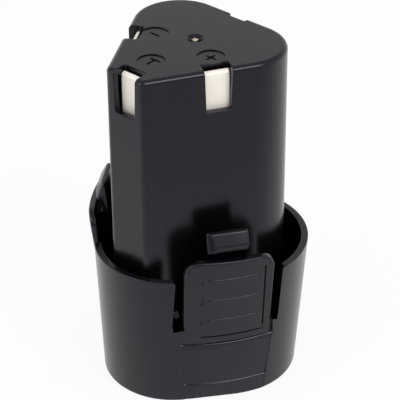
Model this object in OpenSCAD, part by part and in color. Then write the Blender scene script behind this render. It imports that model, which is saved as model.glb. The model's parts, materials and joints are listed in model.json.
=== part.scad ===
// Battery pack of a small cordless tool. A tower with three cells stands in a cup,
// and two squeeze latches on the cup hold the pack in the tool's handle.
// All sizes are in millimetres. The origin is the middle of the cup's underside, +Z is up,
// and the tower's cut-off corner with the sense contact points to -Y.

/* [Cells] */
// Diameter of one sleeved cell
cell_d = 18.36; // [18:0.02:18.8]
// Length of one cell, from its flat end to its button
cell_len = 65; // [60:0.5:70]
// Gap between two neighbouring cells
cell_gap = 0.57; // [0.4:0.01:1]
// Thickness of a cell's shrink sleeve
sleeve_t = 0.15; // [0.1:0.01:0.2]
// Wall of a cell's steel can
can_wall = 0.3; // [0.2:0.05:0.5]
// Diameter of a cell's button
button_d = 6.4; // [5:0.1:8]
// Height of a cell's button over the can's rim
button_h = 0.6; // [0.4:0.1:1]

/* [Tower] */
// Wall of the tower
tower_wall = 1.6; // [1.2:0.1:2.2]
// Gap between a cell and the tower's wall
cell_room = 0.2; // [0.1:0.05:0.5]
// Thickness of the tower's top
top_wall = 1.85; // [1.4:0.05:2.4]
// Height of the tower's top over the circuit board
head_room = 12.14; // [11:0.02:16]
// Distance from the front cell's axis to the flat front of the tower
front_reach = 12.42; // [11.8:0.02:14]
// Corner radius beside the flat front
front_corner_r = 1.84; // [1:0.02:3]
// Bevel round the tower's top
top_bevel = 0.9; // [0.4:0.1:1.4]
// Width of the key groove down the tower's back
key_w = 5.6; // [4:0.1:7]
// Depth of the key groove
key_depth = 1.7; // [1:0.1:2.2]
// Wall behind the key groove
key_wall = 1.4; // [1:0.1:1.5]
// Length of the key groove from the top
key_len = 52; // [20:1:60]

/* [Contact windows] */
// Width of a contact window at its sill
window_w = 5.9; // [5:0.1:8]
// How much wider a contact window is at the tower's top
window_flare = 0.7; // [0:0.1:1.5]
// Height of a contact window below the tower's top
window_h = 10.5; // [8:0.02:11]
// How far the side windows lie from the middle between two cells, towards the back
window_shift = 0.7; // [0:0.05:1.5]
// Depth of the notch that a side window cuts in the top
side_notch = 3.9; // [2.8:0.05:4.6]
// Depth of the notch that the front window cuts in the top
front_notch = 4.05; // [3.4:0.05:5]
// Depth of a side contact behind the tower's face
side_recess = 1.85; // [1.7:0.05:2.3]
// Depth of the front contact behind the tower's face
front_recess = 2.5; // [1.9:0.05:3]
// Diameter of the sunk disc round a contact's sign
mark_d = 6.7; // [5:0.1:8]
// Depth of a sunk sign disc
mark_depth = 0.3; // [0.2:0.05:0.5]
// Distance of the plus and minus discs behind the tower's side faces
mark_inset = 7; // [6:0.05:8]
// How far those discs lie along the faces from their windows' middles, towards the back
mark_shift = 0.34; // [0:0.02:2]
// Distance of the sense disc behind the tower's flat front
sense_inset = 9.06; // [8:0.02:10]
// Width of a sign's strokes
stroke_w = 0.55; // [0.4:0.05:0.8]
// Length of a sign's strokes
stroke_len = 3; // [2:0.1:4]
// How far the test hole lies behind the middle of the three cells
test_back = 0.57; // [-1:0.01:2]
// Width of the square test hole
test_w = 2.2; // [1.6:0.1:3]
// Diameter of the dimple round the test hole
dimple_d = 4.2; // [3.4:0.1:6]
// Depth of that dimple
dimple_depth = 0.8; // [0.4:0.1:1.2]

/* [Cup] */
// Room between the tower's sides and the cup at its rim
side_room = 6.025; // [5:0.005:9]
// Room between the tower's flat front and the cup at its rim
front_room = 2.24; // [1.8:0.01:5]
// Room between the tower's back and the cup at its rim
back_room = 4.69; // [4:0.01:8]
// Height of the cup
cup_h = 36.44; // [34:0.02:42]
// Radius of the cup's sides at the rim
side_r = 20.75; // [19:0.05:22]
// Radius of the cup's front at the rim
front_r = 18.91; // [17:0.05:20]
// How much smaller the sides' radius is at the bottom
side_draft = 2.62; // [1:0.02:3]
// How much smaller the front's radius is at the bottom
front_draft = 1.4; // [0.6:0.02:2.4]
// Wall of the cup
cup_wall = 1.7; // [1.3:0.05:2]
// Floor of the cup
cup_floor = 2.2; // [1.8:0.05:3]
// Bevel round the cup's bottom
cup_bevel = 0.8; // [0.3:0.1:1.5]
// Height of the rib that locates the tower's foot
socket_h = 3; // [2:0.1:6]
// Thickness of that rib, and of the stop fins
socket_t = 1.3; // [1:0.1:2]
// Height of the stop fins beside the latches
fin_top = 23.85; // [15:0.05:26]
// Reach of the stop fins out of the tower's side
fin_reach = 3.4; // [2:0.1:3.8]

/* [Latches] */
// Turn of a latch's outward direction from X towards the front
latch_turn = 34.1; // [28:0.1:40]
// Outward lean of a latch's tongue
latch_lean = 6.84; // [4:0.02:8]
// Width of a tongue
latch_w = 21.2; // [18:0.1:22]
// Length of a tongue over its root
latch_len = 24.47; // [22:0.01:28]
// Thickness of a tongue
latch_t = 2.2; // [1.8:0.1:2.4]
// Height of a tongue's root
root_z = 17.3; // [14:0.1:20]
// How far the root's face lies inside the cup's bulge
latch_inset = 2.55; // [2.2:0.05:3]
// Distance from the middle of the cup's side arc to the latch's middle
latch_offset = 3.28; // [2:0.02:5]
// Radius of a tongue's upper corners
latch_top_r = 3.84; // [2:0.02:6]
// Radius of a tongue's lower corners
latch_low_r = 2.5; // [1.5:0.1:3.5]
// Gap between a tongue's lower edges and the cup
latch_gap = 0.3; // [0.2:0.05:0.6]
// Width of the slots beside a tongue
slot_w = 2.55; // [1.5:0.05:3.5]
// Height of the slots' bottoms
slot_z = 22; // [20.5:0.1:26]
// Radial gap round a tongue's round root
hinge_gap = 0.08; // [0.03:0.01:0.1]
// Depth of the flat below a latch at its upper end, inside the cup's bulge
flat_depth = 1.35; // [1.1:0.05:1.8]
// Lean of that flat
flat_lean = 2.6; // [0:0.05:4]
// Radius of that flat's slight crown
flat_r = 60; // [40:1:200]
// Height of the flat's lower end
flat_z = 5.4; // [4:0.1:10]
// Width of a button's sunk panel
panel_w = 15.8; // [12:0.1:17]
// Height of that panel over the root
panel_z = 3.5; // [3:0.1:6]
// Length of that panel
panel_len = 18.4; // [16:0.1:20]
// Depth of that panel
panel_depth = 0.45; // [0.2:0.05:0.7]
// Number of grip ribs
rib_count = 3; // [2:1:4]
// Distance between grip ribs
rib_pitch = 6.35; // [4.5:0.05:6.4]
// Length of a grip rib
rib_len = 12.4; // [8:0.1:14]
// Radius of a grip rib
rib_r = 0.75; // [0.5:0.05:1]
// Width of a hook
hook_w = 9.9; // [7:0.1:14]
// Height of a hook's top over the root
hook_top = 31; // [30:0.1:36]
// Thickness of the stem that carries a hook
stem_t = 1.65; // [1.3:0.05:2]
// Length of a hook's flat top
hook_flat = 1.15; // [0.6:0.05:1.6]
// Reach of a hook's nose over its stem
hook_reach = 1.5; // [1:0.05:2]
// Drop of a hook's ramp
hook_drop = 2.85; // [2:0.05:3.5]
// Height of a hook's nose
hook_nose = 1.75; // [1:0.05:2.2]
// How far a hook's front end is cut back at its nose
hook_cut = 2.5; // [1:0.1:4]

/* [Inside] */
// Thickness of the foam pad on the cup's floor
foam_t = 2.8; // [2.4:0.05:4]
// Thickness of the insulating papers
paper_t = 0.3; // [0.2:0.05:0.5]
// Thickness of the nickel strips
strip_t = 0.2; // [0.15:0.05:0.4]
// Width of the nickel strips
strip_w = 6; // [4:0.1:7]
// Height of the cell spacers along the cells
spacer_h = 6; // [4:0.5:10]
// Wall of the frame that carries the circuit board
carrier_t = 1.2; // [0.8:0.1:1.6]
// Gap under the circuit board
board_gap = 2.9; // [2:0.05:4]
// Thickness of the circuit board
board_t = 1.6; // [1:0.1:2]
// Clearance between pieces that are laid into one another
fit_gap = 0.15; // [0.1:0.01:0.25]
// Thickness of the contact plates
contact_t = 0.6; // [0.4:0.05:0.8]
// Drop of the contacts' tops below the tower's top
contact_drop = 1.25; // [1:0.05:2]
// Bend radius of the contacts' tops
contact_bend = 1; // [0.8:0.05:1.2]
// Length of the contacts' feet on the board
contact_foot = 3.2; // [2:0.1:4]
// Width of the square test pin
pin_w = 1.5; // [1:0.1:2]
// Diameter of the negative lead
lead_d = 1.9; // [1.4:0.1:2.4]
// Diameter of the sense lead
sense_d = 1.1; // [0.8:0.1:1.2]
// Diameter of the thermistor's bead
bead_d = 2.2; // [1.6:0.1:2.2]
// Height of the thermistor's bead over the cells' lower ends
bead_z = 46; // [20:1:52]
// Number of chip parts in the row on the board
chip_count = 6; // [3:1:8]

/* [Screws] */
// Diameter of a case screw
screw_d = 2; // [1.6:0.1:2.2]
// Length of a case screw below its head
screw_len = 9; // [7:0.5:11]
// Diameter of a screw's head
head_d = 3.6; // [3:0.1:3.8]
// Height of a screw's head
head_h = 1.4; // [1:0.1:1.6]
// Depth of a screw's seat over the cup's underside
seat_z = 2.6; // [2.3:0.1:3.4]
// Thickness of the seat that a screw clamps
seat_t = 1.8; // [1.4:0.1:2.4]
// Diameter of the tower's screw bosses
boss_d = 4.6; // [4.2:0.1:4.8]

/* [Hidden] */
$fn = 64;
hull_fn = 40;
eps = 0.01;

// Cell places and the tower's outline
cell_pitch = cell_d + cell_gap;
tower_r = cell_d / 2 + cell_room + tower_wall;
cell_back = (cell_pitch * sin(60) + front_reach + front_room - tower_r - back_room) / 2;
right_cell = [cell_pitch / 2, cell_back];
front_cell = [0, cell_back - cell_pitch * sin(60)];
left_cell = [-cell_pitch / 2, cell_back];
middle = [0, cell_back - cell_pitch * tan(30) / 2];
test_y = middle.y + test_back;
flank_dir = [cos(30), -sin(30)];
flank_along = [sin(30), cos(30)];
flank_mid = (right_cell + front_cell) / 2;
flank_reach = right_cell * flank_dir + tower_r;
front_y = front_cell.y - front_reach;
back_y = cell_back + tower_r;
least_r = 0.2;

// Heights, from the cup's underside up
paper_z = cup_floor + foam_t;
cell_z = paper_z + paper_t + strip_t;
cell_top = cell_z + cell_len;
upper_paper_z = cell_top + strip_t;
board_z = upper_paper_z + paper_t + board_gap;
board_top = board_z + board_t;
tower_top = board_top + head_room;
sill_z = tower_top - window_h;
boss_z = seat_z + seat_t;

// Cup arcs and the latch frame
cup_w = cell_pitch + 2 * (tower_r + side_room + cup_wall);
cup_d = 2 * (back_y + back_room + cup_wall);
side_c = [cup_w / 2 - side_r, cup_d / 2 - side_r];
front_c = [0, front_r - cup_d / 2];
latch_dir = [cos(latch_turn), -sin(latch_turn)];
latch_along = [sin(latch_turn), cos(latch_turn)];
root_r = latch_t / 2;
root_half = latch_w / 2 - latch_low_r;
cup_reach = side_c * latch_dir + side_r - side_draft * (1 - root_z / cup_h);
hinge_n = cup_reach - latch_inset - root_r;
hinge_t = side_c * latch_along - latch_offset;
flat_sag = flat_r - sqrt(flat_r * flat_r - latch_w * latch_w / 4);
past = 12;

// Screw and wire places in the valleys between the cells
boss_sink = 0.35;
boss_h = cell_d / 2 + cell_room - boss_d / 2 + boss_sink;
screw_places = [flank_mid + boss_h * flank_dir,
                mirrored(flank_mid + boss_h * flank_dir),
                [0, cell_back + boss_h]];
screw_gap = 0.1;
thread_gap = 0.05;
cell_touch = cell_d / 2 + 2 * fit_gap;
sense_place = flank_mid + valley(sense_d / 2) * flank_dir;
bead_place = mirrored(flank_mid + valley(bead_d / 2) * flank_dir);
core_share = 0.5;
lead_bare = 1.5;
bead_len = 3.4;
bead_lead_d = 0.5;
bead_lead_gap = 0.9;

function mirrored(p) = [-p.x, p.y];

// Distance out of the line of two cells at which a round of radius r clears both
function valley(r) = sqrt(pow(cell_touch + r, 2) - pow(cell_pitch / 2, 2));

// Centre and radius of the tower's front corner, at an inset from its face
function corner_r(inset) = max(front_corner_r - inset, least_r);
function corner_y(inset) = front_y + inset + corner_r(inset);
function corner_x(inset) =
    (flank_reach - inset - corner_r(inset) + corner_y(inset) * sin(30)) / cos(30);
function corner_c(inset) = [corner_x(inset), corner_y(inset)];

// Outline of the tower at an inset from its face; its flats end just inside its rounds
module tower_outline(inset = 0) {
    rear_r = tower_r - inset;
    rear_flat = rear_r - eps;
    front = corner_c(inset);
    front_flat = corner_r(inset) - eps;
    right_side = [[front.x, front.y - front_flat],
                  front + front_flat * flank_dir,
                  right_cell + rear_flat * flank_dir,
                  right_cell + [0, rear_flat]];
    left_side = [for (i = [3:-1:0]) mirrored(right_side[i])];
    polygon(concat(right_side, left_side));
    for (c = [right_cell, left_cell])
        translate(c) circle(rear_r);
    for (c = [front, mirrored(front)])
        translate(c) circle(corner_r(inset));
}

// Outline of a piece that slides into the tower past the key groove's inner wall
module inner_outline(inset) {
    difference() {
        tower_outline(tower_wall + inset);
        translate([-key_w / 2 - key_wall - inset, back_y - key_depth - key_wall - inset])
            square([key_w + 2 * (key_wall + inset), key_depth + key_wall + tower_r]);
    }
}

module slab(z, h) {
    translate([0, 0, z]) linear_extrude(h) children();
}

module posts(places, r, z, h) {
    for (p = places)
        translate([p.x, p.y, z]) cylinder(r = r, h = h);
}

// Frames on the tower's faces: +X leads out of the face, from the face's surface
module at_plus_face() {
    rotate([0, 0, -30]) translate([flank_reach, flank_mid * flank_along + window_shift, 0]) children();
}

module at_minus_face() {
    mirror([1, 0, 0]) at_plus_face() children();
}

module at_front_face() {
    rotate([0, 0, -90]) translate([-front_y, 0, 0]) children();
}

// Frame of a latch: +X leads out of the pack, Y runs along the hinge at height root_z
module at_plus_latch() {
    rotate([0, 0, -latch_turn]) translate([hinge_n, hinge_t, root_z]) children();
}

module at_both_latches() {
    at_plus_latch() children();
    mirror([1, 0, 0]) at_plus_latch() children();
}

module lean_out() {
    rotate([0, latch_lean, 0]) children();
}

// Three drafted arcs, drawn in by wall and starting at a height
module cup_body(wall, z, top) {
    low_share = 1 - z / cup_h;
    high_share = 1 - top / cup_h;
    hull() {
        for (c = [side_c, mirrored(side_c)])
            translate([c.x, c.y, z])
                cylinder(r1 = side_r - wall - side_draft * low_share,
                         r2 = side_r - wall - side_draft * high_share, h = top - z, $fn = hull_fn);
        translate([front_c.x, front_c.y, z])
            cylinder(r1 = front_r - wall - front_draft * low_share,
                     r2 = front_r - wall - front_draft * high_share, h = top - z, $fn = hull_fn);
    }
}

// Bevelled lower edge of the cup
module cup_sole() {
    hull()
        for (step = [0, 1])
            for (c = [side_c, mirrored(side_c), front_c])
                translate([c.x, c.y, step * cup_bevel])
                    cylinder(r = (c.x == 0 ? front_r - front_draft : side_r - side_draft)
                                 - (1 - step) * cup_bevel, h = eps, $fn = hull_fn);
}

module cup_outside() {
    cup_body(0, cup_bevel, cup_h);
    cup_sole();
}

// Backing inside the cup: a thick wall behind the flat and a rail under the tongue's root
module latch_backing() {
    rail_in = 2;
    rail_h = 4;
    backing_w = latch_w + 2 * cup_wall;
    flat_drop = flat_sag + (root_z - flat_z) * tan(flat_lean);
    backing_x = cup_reach - flat_depth - flat_drop - cup_wall - hinge_n;
    translate([backing_x, -backing_w / 2, cup_floor - eps - root_z])
        cube([past, backing_w, root_z - cup_floor + root_r]);
    translate([-rail_in, -backing_w / 2, -rail_h])
        cube([past, backing_w, rail_h + root_r]);
}

// Room for a tongue, its slots and its round root
module latch_room() {
    room_r = latch_low_r + latch_gap;
    half = latch_w / 2 + latch_gap;
    lean_out() {
        translate([-past / 2, 0, 0]) rotate([90, 0, 90]) linear_extrude(2 * past) {
            translate([room_r - half, room_r - latch_gap]) circle(room_r);
            translate([half - room_r, room_r - latch_gap]) circle(room_r);
            translate([room_r - half, -latch_gap]) square([2 * (half - room_r), cup_h]);
            translate([-half, room_r - latch_gap]) square([2 * half, cup_h]);
            translate([-latch_w / 2 - slot_w, slot_z - root_z]) square([latch_w + 2 * slot_w, cup_h]);
        }
    }
    rotate([90, 0, 0]) cylinder(r = root_r + hinge_gap, h = 2 * (root_half + latch_gap), center = true);
}

// Slightly crowned flat cut in the cup's bulge below a latch
module flat_cut() {
    translate([cup_reach - flat_depth - hinge_n, 0, -latch_gap]) rotate([0, flat_lean, 0])
        translate([0, 0, flat_z - root_z]) linear_extrude(root_z - flat_z + latch_gap)
            difference() {
                translate([-2 * flat_sag, -latch_w / 2]) square([past, latch_w]);
                translate([-flat_r, 0]) circle(flat_r);
            }
}

// Stop fin beside a latch, on the side of the flat front
module stop_fin() {
    translate([flank_reach - past / 2, -latch_w / 2 - slot_w / 2 - socket_t / 2 + hinge_t, cup_floor - eps])
        cube([past / 2 + fin_reach, socket_t, fin_top - cup_floor]);
}

module base_cup() {
    color("#1b1b1d") difference() {
        union() {
            difference() {
                cup_outside();
                cup_body(cup_wall, cup_floor, cup_h + eps);
            }
            intersection() {
                cup_body(eps, cup_bevel, cup_h);
                at_both_latches() latch_backing();
            }
            difference() {
                union() {
                    slab(cup_floor - eps, socket_h) tower_outline(-fit_gap - socket_t);
                    rotate([0, 0, -latch_turn]) stop_fin();
                    mirror([1, 0, 0]) rotate([0, 0, -latch_turn]) stop_fin();
                }
                slab(cup_floor - eps, cup_h) tower_outline(-fit_gap);
            }
            intersection() {
                posts(screw_places, boss_d / 2, cup_floor - eps, boss_z - cup_floor + eps);
                slab(cup_floor - eps, boss_z) tower_outline(tower_wall + fit_gap);
            }
        }
        at_both_latches() latch_room();
        at_both_latches() flat_cut();
        posts(screw_places, head_d / 2 + fit_gap, -eps, seat_z + eps);
        posts(screw_places, screw_d / 2 + screw_gap, -eps, boss_z + 1);
    }
}

// Window through a face, flared upwards, and the notch that it leaves in the tower's top
module window(notch) {
    low = window_w / 2;
    high = (window_w + window_flare) / 2;
    translate([-notch, 0, sill_z]) rotate([90, 0, 90]) linear_extrude(notch + 1)
        polygon([[-low, 0], [low, 0], [high, window_h], [high, window_h + 1],
                 [-high, window_h + 1], [-high, window_h]]);
}

module stroke(along, across) {
    translate([-along / 2, -across / 2, -2 * mark_depth]) cube([along, across, 3 * mark_depth]);
}

// Sunk disc behind a face, with the strokes of its sign cut deeper
module sign_disc(inset, shift) {
    translate([-inset, shift, tower_top - mark_depth]) {
        cylinder(d = mark_d, h = 1);
        children();
    }
}

module signs() {
    at_plus_face() sign_disc(mark_inset, mark_shift) rotate([0, 0, 30]) {
        stroke(stroke_len, stroke_w);
        stroke(stroke_w, stroke_len);
    }
    at_minus_face() sign_disc(mark_inset, mark_shift) rotate([0, 0, 30])
        stroke(stroke_len, stroke_w);
    at_front_face() sign_disc(sense_inset, 0) {
        stroke(stroke_len, stroke_w);
        translate([(stroke_w - stroke_len) / 2, 0, 0]) stroke(stroke_w, stroke_len);
    }
}

module test_hole() {
    translate([0, test_y, tower_top]) {
        cube([test_w, test_w, 3 * top_wall], center = true);
        translate([0, 0, -dimple_depth])
            cylinder(d1 = test_w, d2 = dimple_d, h = dimple_depth + eps);
    }
}

module tower_housing() {
    color("#1d1d1f") difference() {
        union() {
            difference() {
                hull() {
                    slab(cup_floor, tower_top - top_bevel - cup_floor) tower_outline($fn = hull_fn);
                    slab(tower_top - eps, eps) tower_outline(top_bevel, $fn = hull_fn);
                }
                slab(cup_floor - eps, tower_top - top_wall - cup_floor) tower_outline(tower_wall);
            }
            translate([-key_w / 2 - key_wall, back_y - key_depth - key_wall, tower_top - key_len - key_wall])
                cube([key_w + 2 * key_wall, key_depth + key_wall - eps, key_len + key_wall - top_bevel]);
            intersection() {
                posts(screw_places, boss_d / 2, boss_z, screw_len);
                slab(boss_z, screw_len) tower_outline(tower_wall / 2);
            }
        }
        translate([-key_w / 2, back_y - key_depth, tower_top - key_len])
            cube([key_w, key_depth + 1, key_len + 1]);
        at_plus_face() window(side_notch);
        at_minus_face() window(side_notch);
        at_front_face() window(front_notch);
        signs();
        test_hole();
        posts(screw_places, screw_d / 2, boss_z - eps, screw_len - seat_t + 0.6);
    }
}

// Upright outline of a tongue, with large corners above and small ones below
module tongue_outline() {
    half = latch_w / 2;
    for (s = [-1, 1]) {
        translate([s * (half - latch_top_r), latch_len - latch_top_r]) circle(latch_top_r);
        translate([s * (half - latch_low_r), latch_low_r]) circle(latch_low_r);
    }
    translate([-root_half, 0]) square([2 * root_half, latch_len - latch_top_r]);
    translate([-half, latch_low_r]) square([latch_w, latch_len - latch_top_r - latch_low_r]);
    translate([latch_top_r - half, latch_len / 2]) square([latch_w - 2 * latch_top_r, latch_len / 2]);
}

// Stem behind the tongue and the hook on its end, seen along the hinge
module hook_profile() {
    stem_in = -root_r - stem_t;
    stem_low = latch_len / 2;
    nose_x = hook_reach - root_r;
    nose_z = hook_top - hook_drop;
    polygon([[0, stem_low - stem_t], [-root_r, stem_low - stem_t], [stem_in, stem_low + stem_t],
             [stem_in, hook_top], [stem_in + hook_flat, hook_top], [nose_x, nose_z],
             [nose_x, nose_z - hook_nose], [-root_r, latch_len + (nose_z - hook_nose - latch_len) / 2],
             [-root_r, latch_len - stem_t], [0, latch_len - stem_t]]);
}

// The same hook seen from above, cut back at the end towards the flat front
module hook_plan() {
    stem_in = -root_r - stem_t;
    half = hook_w / 2;
    polygon([[stem_in, -half], [hook_reach - root_r, hook_cut - half],
             [hook_reach - root_r, half], [stem_in, half]]);
}

module latch() {
    lean_out() {
        difference() {
            translate([-root_r, 0, 0]) rotate([90, 0, 90]) linear_extrude(latch_t) tongue_outline();
            translate([root_r - panel_depth, -panel_w / 2, panel_z]) cube([latch_t, panel_w, panel_len]);
        }
        for (i = [0:rib_count - 1])
            translate([root_r - panel_depth - rib_r / 3, 0,
                       panel_z + panel_len / 2 + (i - (rib_count - 1) / 2) * rib_pitch])
                rotate([90, 0, 0]) cylinder(r = rib_r, h = rib_len, center = true);
        intersection() {
            rotate([90, 0, 0]) linear_extrude(hook_w, center = true) hook_profile();
            linear_extrude(hook_top + 1) hook_plan();
        }
    }
    rotate([90, 0, 0]) cylinder(r = root_r, h = 2 * root_half - latch_gap, center = true);
}

module plus_latch() {
    color("#1b1b1d") at_plus_latch() latch();
}

module minus_latch() {
    color("#1b1b1d") mirror([1, 0, 0]) at_plus_latch() latch();
}

module case_screws() {
    color("silver") for (p = screw_places)
        translate([p.x, p.y, seat_z]) difference() {
            union() {
                translate([0, 0, -head_h]) cylinder(d = head_d, h = head_h);
                cylinder(d = screw_d - 2 * thread_gap, h = screw_len);
            }
            for (turn = [0, 90])
                rotate([0, 0, turn]) translate([-head_d / 3, -head_h / 5, -head_h - eps])
                    cube([head_d * 2 / 3, head_h * 2 / 5, head_h * 2 / 3]);
        }
}

module base_foam() {
    color("#3a3a3c") difference() {
        slab(cup_floor, foam_t) tower_outline(tower_wall + fit_gap);
        posts(screw_places, boss_d / 2 + fit_gap, cup_floor - 1, foam_t + 2);
    }
}

module lower_paper() {
    color("#b9c4a4") difference() {
        slab(paper_z, paper_t) tower_outline(tower_wall + 2 * fit_gap);
        posts(screw_places, boss_d / 2 + fit_gap, paper_z - 1, paper_t + 2);
    }
}

// Flat strip from one cell's axis to another place, on the cells' ends
module strip(from, to, z, over) {
    way = to - from;
    translate([from.x, from.y, z]) rotate([0, 0, atan2(way.y, way.x)])
        translate([-strip_w / 2, -strip_w / 2, 0])
            cube([norm(way) + strip_w / 2 + over, strip_w, strip_t]);
}

module lower_link() {
    color("#c9c8c4") {
        strip(right_cell, front_cell, cell_z - strip_t, strip_w / 2);
        strip(flank_mid, sense_place, cell_z - strip_t, sense_d / 2);
    }
}

module negative_strip() {
    color("#c9c8c4") {
        strip(left_cell, left_cell + [strip_w / 2, 0], cell_z - strip_t, 0);
        intersection() {
            strip(left_cell, middle, cell_z - strip_t, lead_d / 2);
            translate([left_cell.x, middle.y - lead_d, cell_z - strip_t])
                cube([cell_pitch, cell_pitch, strip_t]);
        }
    }
}

// Star of plastic between the cells, open towards the flat front
module cell_star(z, h) {
    difference() {
        slab(z, h) inner_outline(fit_gap);
        translate([-cell_pitch, front_y, z - 1]) cube([2 * cell_pitch, front_reach, h + 2]);
        posts([right_cell, front_cell, left_cell], cell_d / 2 + fit_gap / 2, z - 1, h + 2);
        posts([middle], lead_d / 2 + fit_gap, z - 1, h + 2);
        posts([sense_place], sense_d / 2 + fit_gap, z - 1, h + 2);
        posts([bead_place], bead_d / 2, z - 1, h + 2);
    }
}

module lower_spacer() {
    color("#2b2b2e") difference() {
        cell_star(cell_z, spacer_h);
        posts(screw_places, boss_d / 2 + fit_gap, cell_z - 1, spacer_h + 2);
    }
}

module board_carrier() {
    color("#2b2b2e") {
        cell_star(cell_top - spacer_h, spacer_h);
        difference() {
            slab(cell_top, board_z - cell_top) inner_outline(fit_gap);
            slab(cell_top - 1, board_z - cell_top + 2) inner_outline(fit_gap + carrier_t);
        }
    }
}

// A cell stands on its flat end at place, or on its button if it is turned over
module at_cell(place, flip) {
    translate([place.x, place.y, cell_z + (flip ? cell_len : 0)])
        rotate([flip ? 180 : 0, 0, 0]) children();
}

can_r = cell_d / 2 - sleeve_t;
can_top = cell_len - button_h;
cap_t = 0.8;
ring_t = 0.2;
mouth_r = can_r * 0.72;
bead_low = 4.2;
bead_high = 2.6;
bead_in = 0.8;
gasket_t = 0.9;

module cell_can() {
    color("#b4b6b8") rotate_extrude() polygon([
        [0, sleeve_t], [can_r, sleeve_t], [can_r, can_top - bead_low],
        [can_r - bead_in, can_top - (bead_low + bead_high) / 2], [can_r, can_top - bead_high],
        [can_r, can_top - sleeve_t - ring_t], [mouth_r + gasket_t, can_top - sleeve_t - ring_t],
        [mouth_r + gasket_t, can_top - bead_high], [can_r - bead_in - can_wall, can_top - bead_high],
        [can_r - bead_in - can_wall, can_top - bead_low - can_wall],
        [can_r - can_wall, can_top - bead_low - can_wall],
        [can_r - can_wall, sleeve_t + can_wall], [0, sleeve_t + can_wall]]);
}

module cell_roll() {
    color("#4a4d52") translate([0, 0, sleeve_t + can_wall])
        cylinder(r = can_r - can_wall - fit_gap,
                 h = can_top - bead_low - 2 * can_wall - sleeve_t - fit_gap);
}

module cell_gasket() {
    color("#5b7fae") translate([0, 0, can_top - bead_high]) difference() {
        cylinder(r = mouth_r + gasket_t, h = bead_high - sleeve_t - ring_t);
        translate([0, 0, -eps]) cylinder(r = mouth_r, h = bead_high);
    }
}

module cell_cap() {
    color("#c2c4c6") {
        translate([0, 0, can_top - bead_high]) cylinder(r = mouth_r, h = cap_t);
        translate([0, 0, can_top - bead_high]) cylinder(d = button_d, h = bead_high + button_h);
    }
}

module cell_ring() {
    color("#e9e7df") translate([0, 0, can_top - sleeve_t - ring_t]) difference() {
        cylinder(r = can_r, h = ring_t);
        translate([0, 0, -eps]) cylinder(d = button_d + 4 * fit_gap, h = 1);
    }
}

module cell_sleeve() {
    lip = can_r * 0.24;
    color("#4d86b8") rotate_extrude() polygon([
        [can_r - lip, 0], [can_r + sleeve_t, 0],
        [can_r + sleeve_t, can_top], [can_r - lip, can_top],
        [can_r - lip, can_top - sleeve_t], [can_r, can_top - sleeve_t],
        [can_r, sleeve_t], [can_r - lip, sleeve_t]]);
}

// Upright tab of a strip, from the cells' tops to the board's underside
module riser(place, turn) {
    translate([place.x, place.y, cell_top]) rotate([0, 0, turn])
        translate([-strip_t / 2, -strip_w / 4, 0]) cube([strip_t, strip_w / 2, board_z - cell_top]);
}

positive_tap = right_cell + [-strip_w / 2 - strip_t, 0];
link_tap = (front_cell + left_cell) / 2;
link_way = left_cell - front_cell;
link_turn = atan2(link_way.y, link_way.x);

module positive_strip() {
    color("#c9c8c4") {
        strip(right_cell, positive_tap, cell_top, strip_t / 2);
        riser(positive_tap, 0);
    }
}

module upper_link() {
    color("#c9c8c4") {
        strip(front_cell, left_cell, cell_top, strip_w / 2);
        riser(link_tap, link_turn);
    }
}

module upper_paper() {
    tap_room = strip_w / 2 + 4 * fit_gap;
    color("#b9c4a4") difference() {
        slab(upper_paper_z, paper_t) inner_outline(fit_gap + carrier_t + fit_gap);
        posts([middle], lead_d / 2 + fit_gap, upper_paper_z - 1, paper_t + 2);
        posts([sense_place], sense_d / 2 + fit_gap, upper_paper_z - 1, paper_t + 2);
        posts([bead_place], bead_d / 2, upper_paper_z - 1, paper_t + 2);
        for (tap = [[positive_tap, 0], [link_tap, link_turn]])
            translate([tap[0].x, tap[0].y, upper_paper_z]) rotate([0, 0, tap[1]])
                cube([4 * fit_gap, tap_room, 4 * paper_t], center = true);
    }
}

module circuit_board() {
    color("#2e6b45") slab(board_z, board_t) inner_outline(2 * fit_gap);
}

module on_board(place, size) {
    translate([place.x - size.x / 2, place.y - size.y / 2, board_top]) cube(size);
}

switch_size = [5, 6, 1.7];
monitor_size = [4.4, 3, 1.1];
shunt_size = [6.4, 3.2, 0.7];
chip_size = [0.8, 1.6, 0.6];

module switch_chips() {
    color("#28282a") for (s = [-1, 1])
        on_board([s * switch_size.x * 1.5, cell_back + switch_size.y / 3], switch_size);
}

module monitor_chip() {
    color("#28282a") on_board([0, cell_back + switch_size.y / 3], monitor_size);
}

module shunt() {
    color("#8c8f92") on_board([0, front_cell.y + shunt_size.y], shunt_size);
}

module chip_parts() {
    color("#c4b59a") for (i = [0:chip_count - 1])
        on_board([(i - (chip_count - 1) / 2) * 2 * chip_size.x, middle.y - 3 * chip_size.y], chip_size);
}

// Bent plate that stands on the board behind a window
module contact(recess) {
    contact_h = tower_top - contact_drop - board_top;
    width = window_w + window_flare * (1 - top_wall / window_h) - 2 * fit_gap;
    bend_z = contact_h - contact_bend;
    translate([-recess, 0, board_top]) rotate([90, 0, 0]) linear_extrude(width, center = true) {
        translate([-contact_foot, 0]) square([contact_foot, contact_t]);
        translate([-contact_t, 0]) square([contact_t, bend_z]);
        translate([-contact_bend, bend_z]) intersection() {
            difference() {
                circle(contact_bend);
                circle(contact_bend - contact_t);
            }
            square(contact_bend);
        }
    }
}

module plus_contact() {
    color("#d8d6cf") at_plus_face() contact(side_recess);
}

module sense_contact() {
    color("#d8d6cf") at_front_face() contact(front_recess);
}

module minus_contact() {
    color("#d8d6cf") at_minus_face() contact(side_recess);
}

module test_pin() {
    color("#cdb36a") translate([-pin_w / 2, test_y - pin_w / 2, board_top])
        cube([pin_w, pin_w, tower_top - top_wall - board_top - pin_w]);
}

// Straight wire from the cells' lower ends to the board, bared at both ends
module lead_core(place, d) {
    color("#b87333") translate([place.x, place.y, cell_z])
        cylinder(d = d * core_share, h = board_z - cell_z);
}

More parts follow.
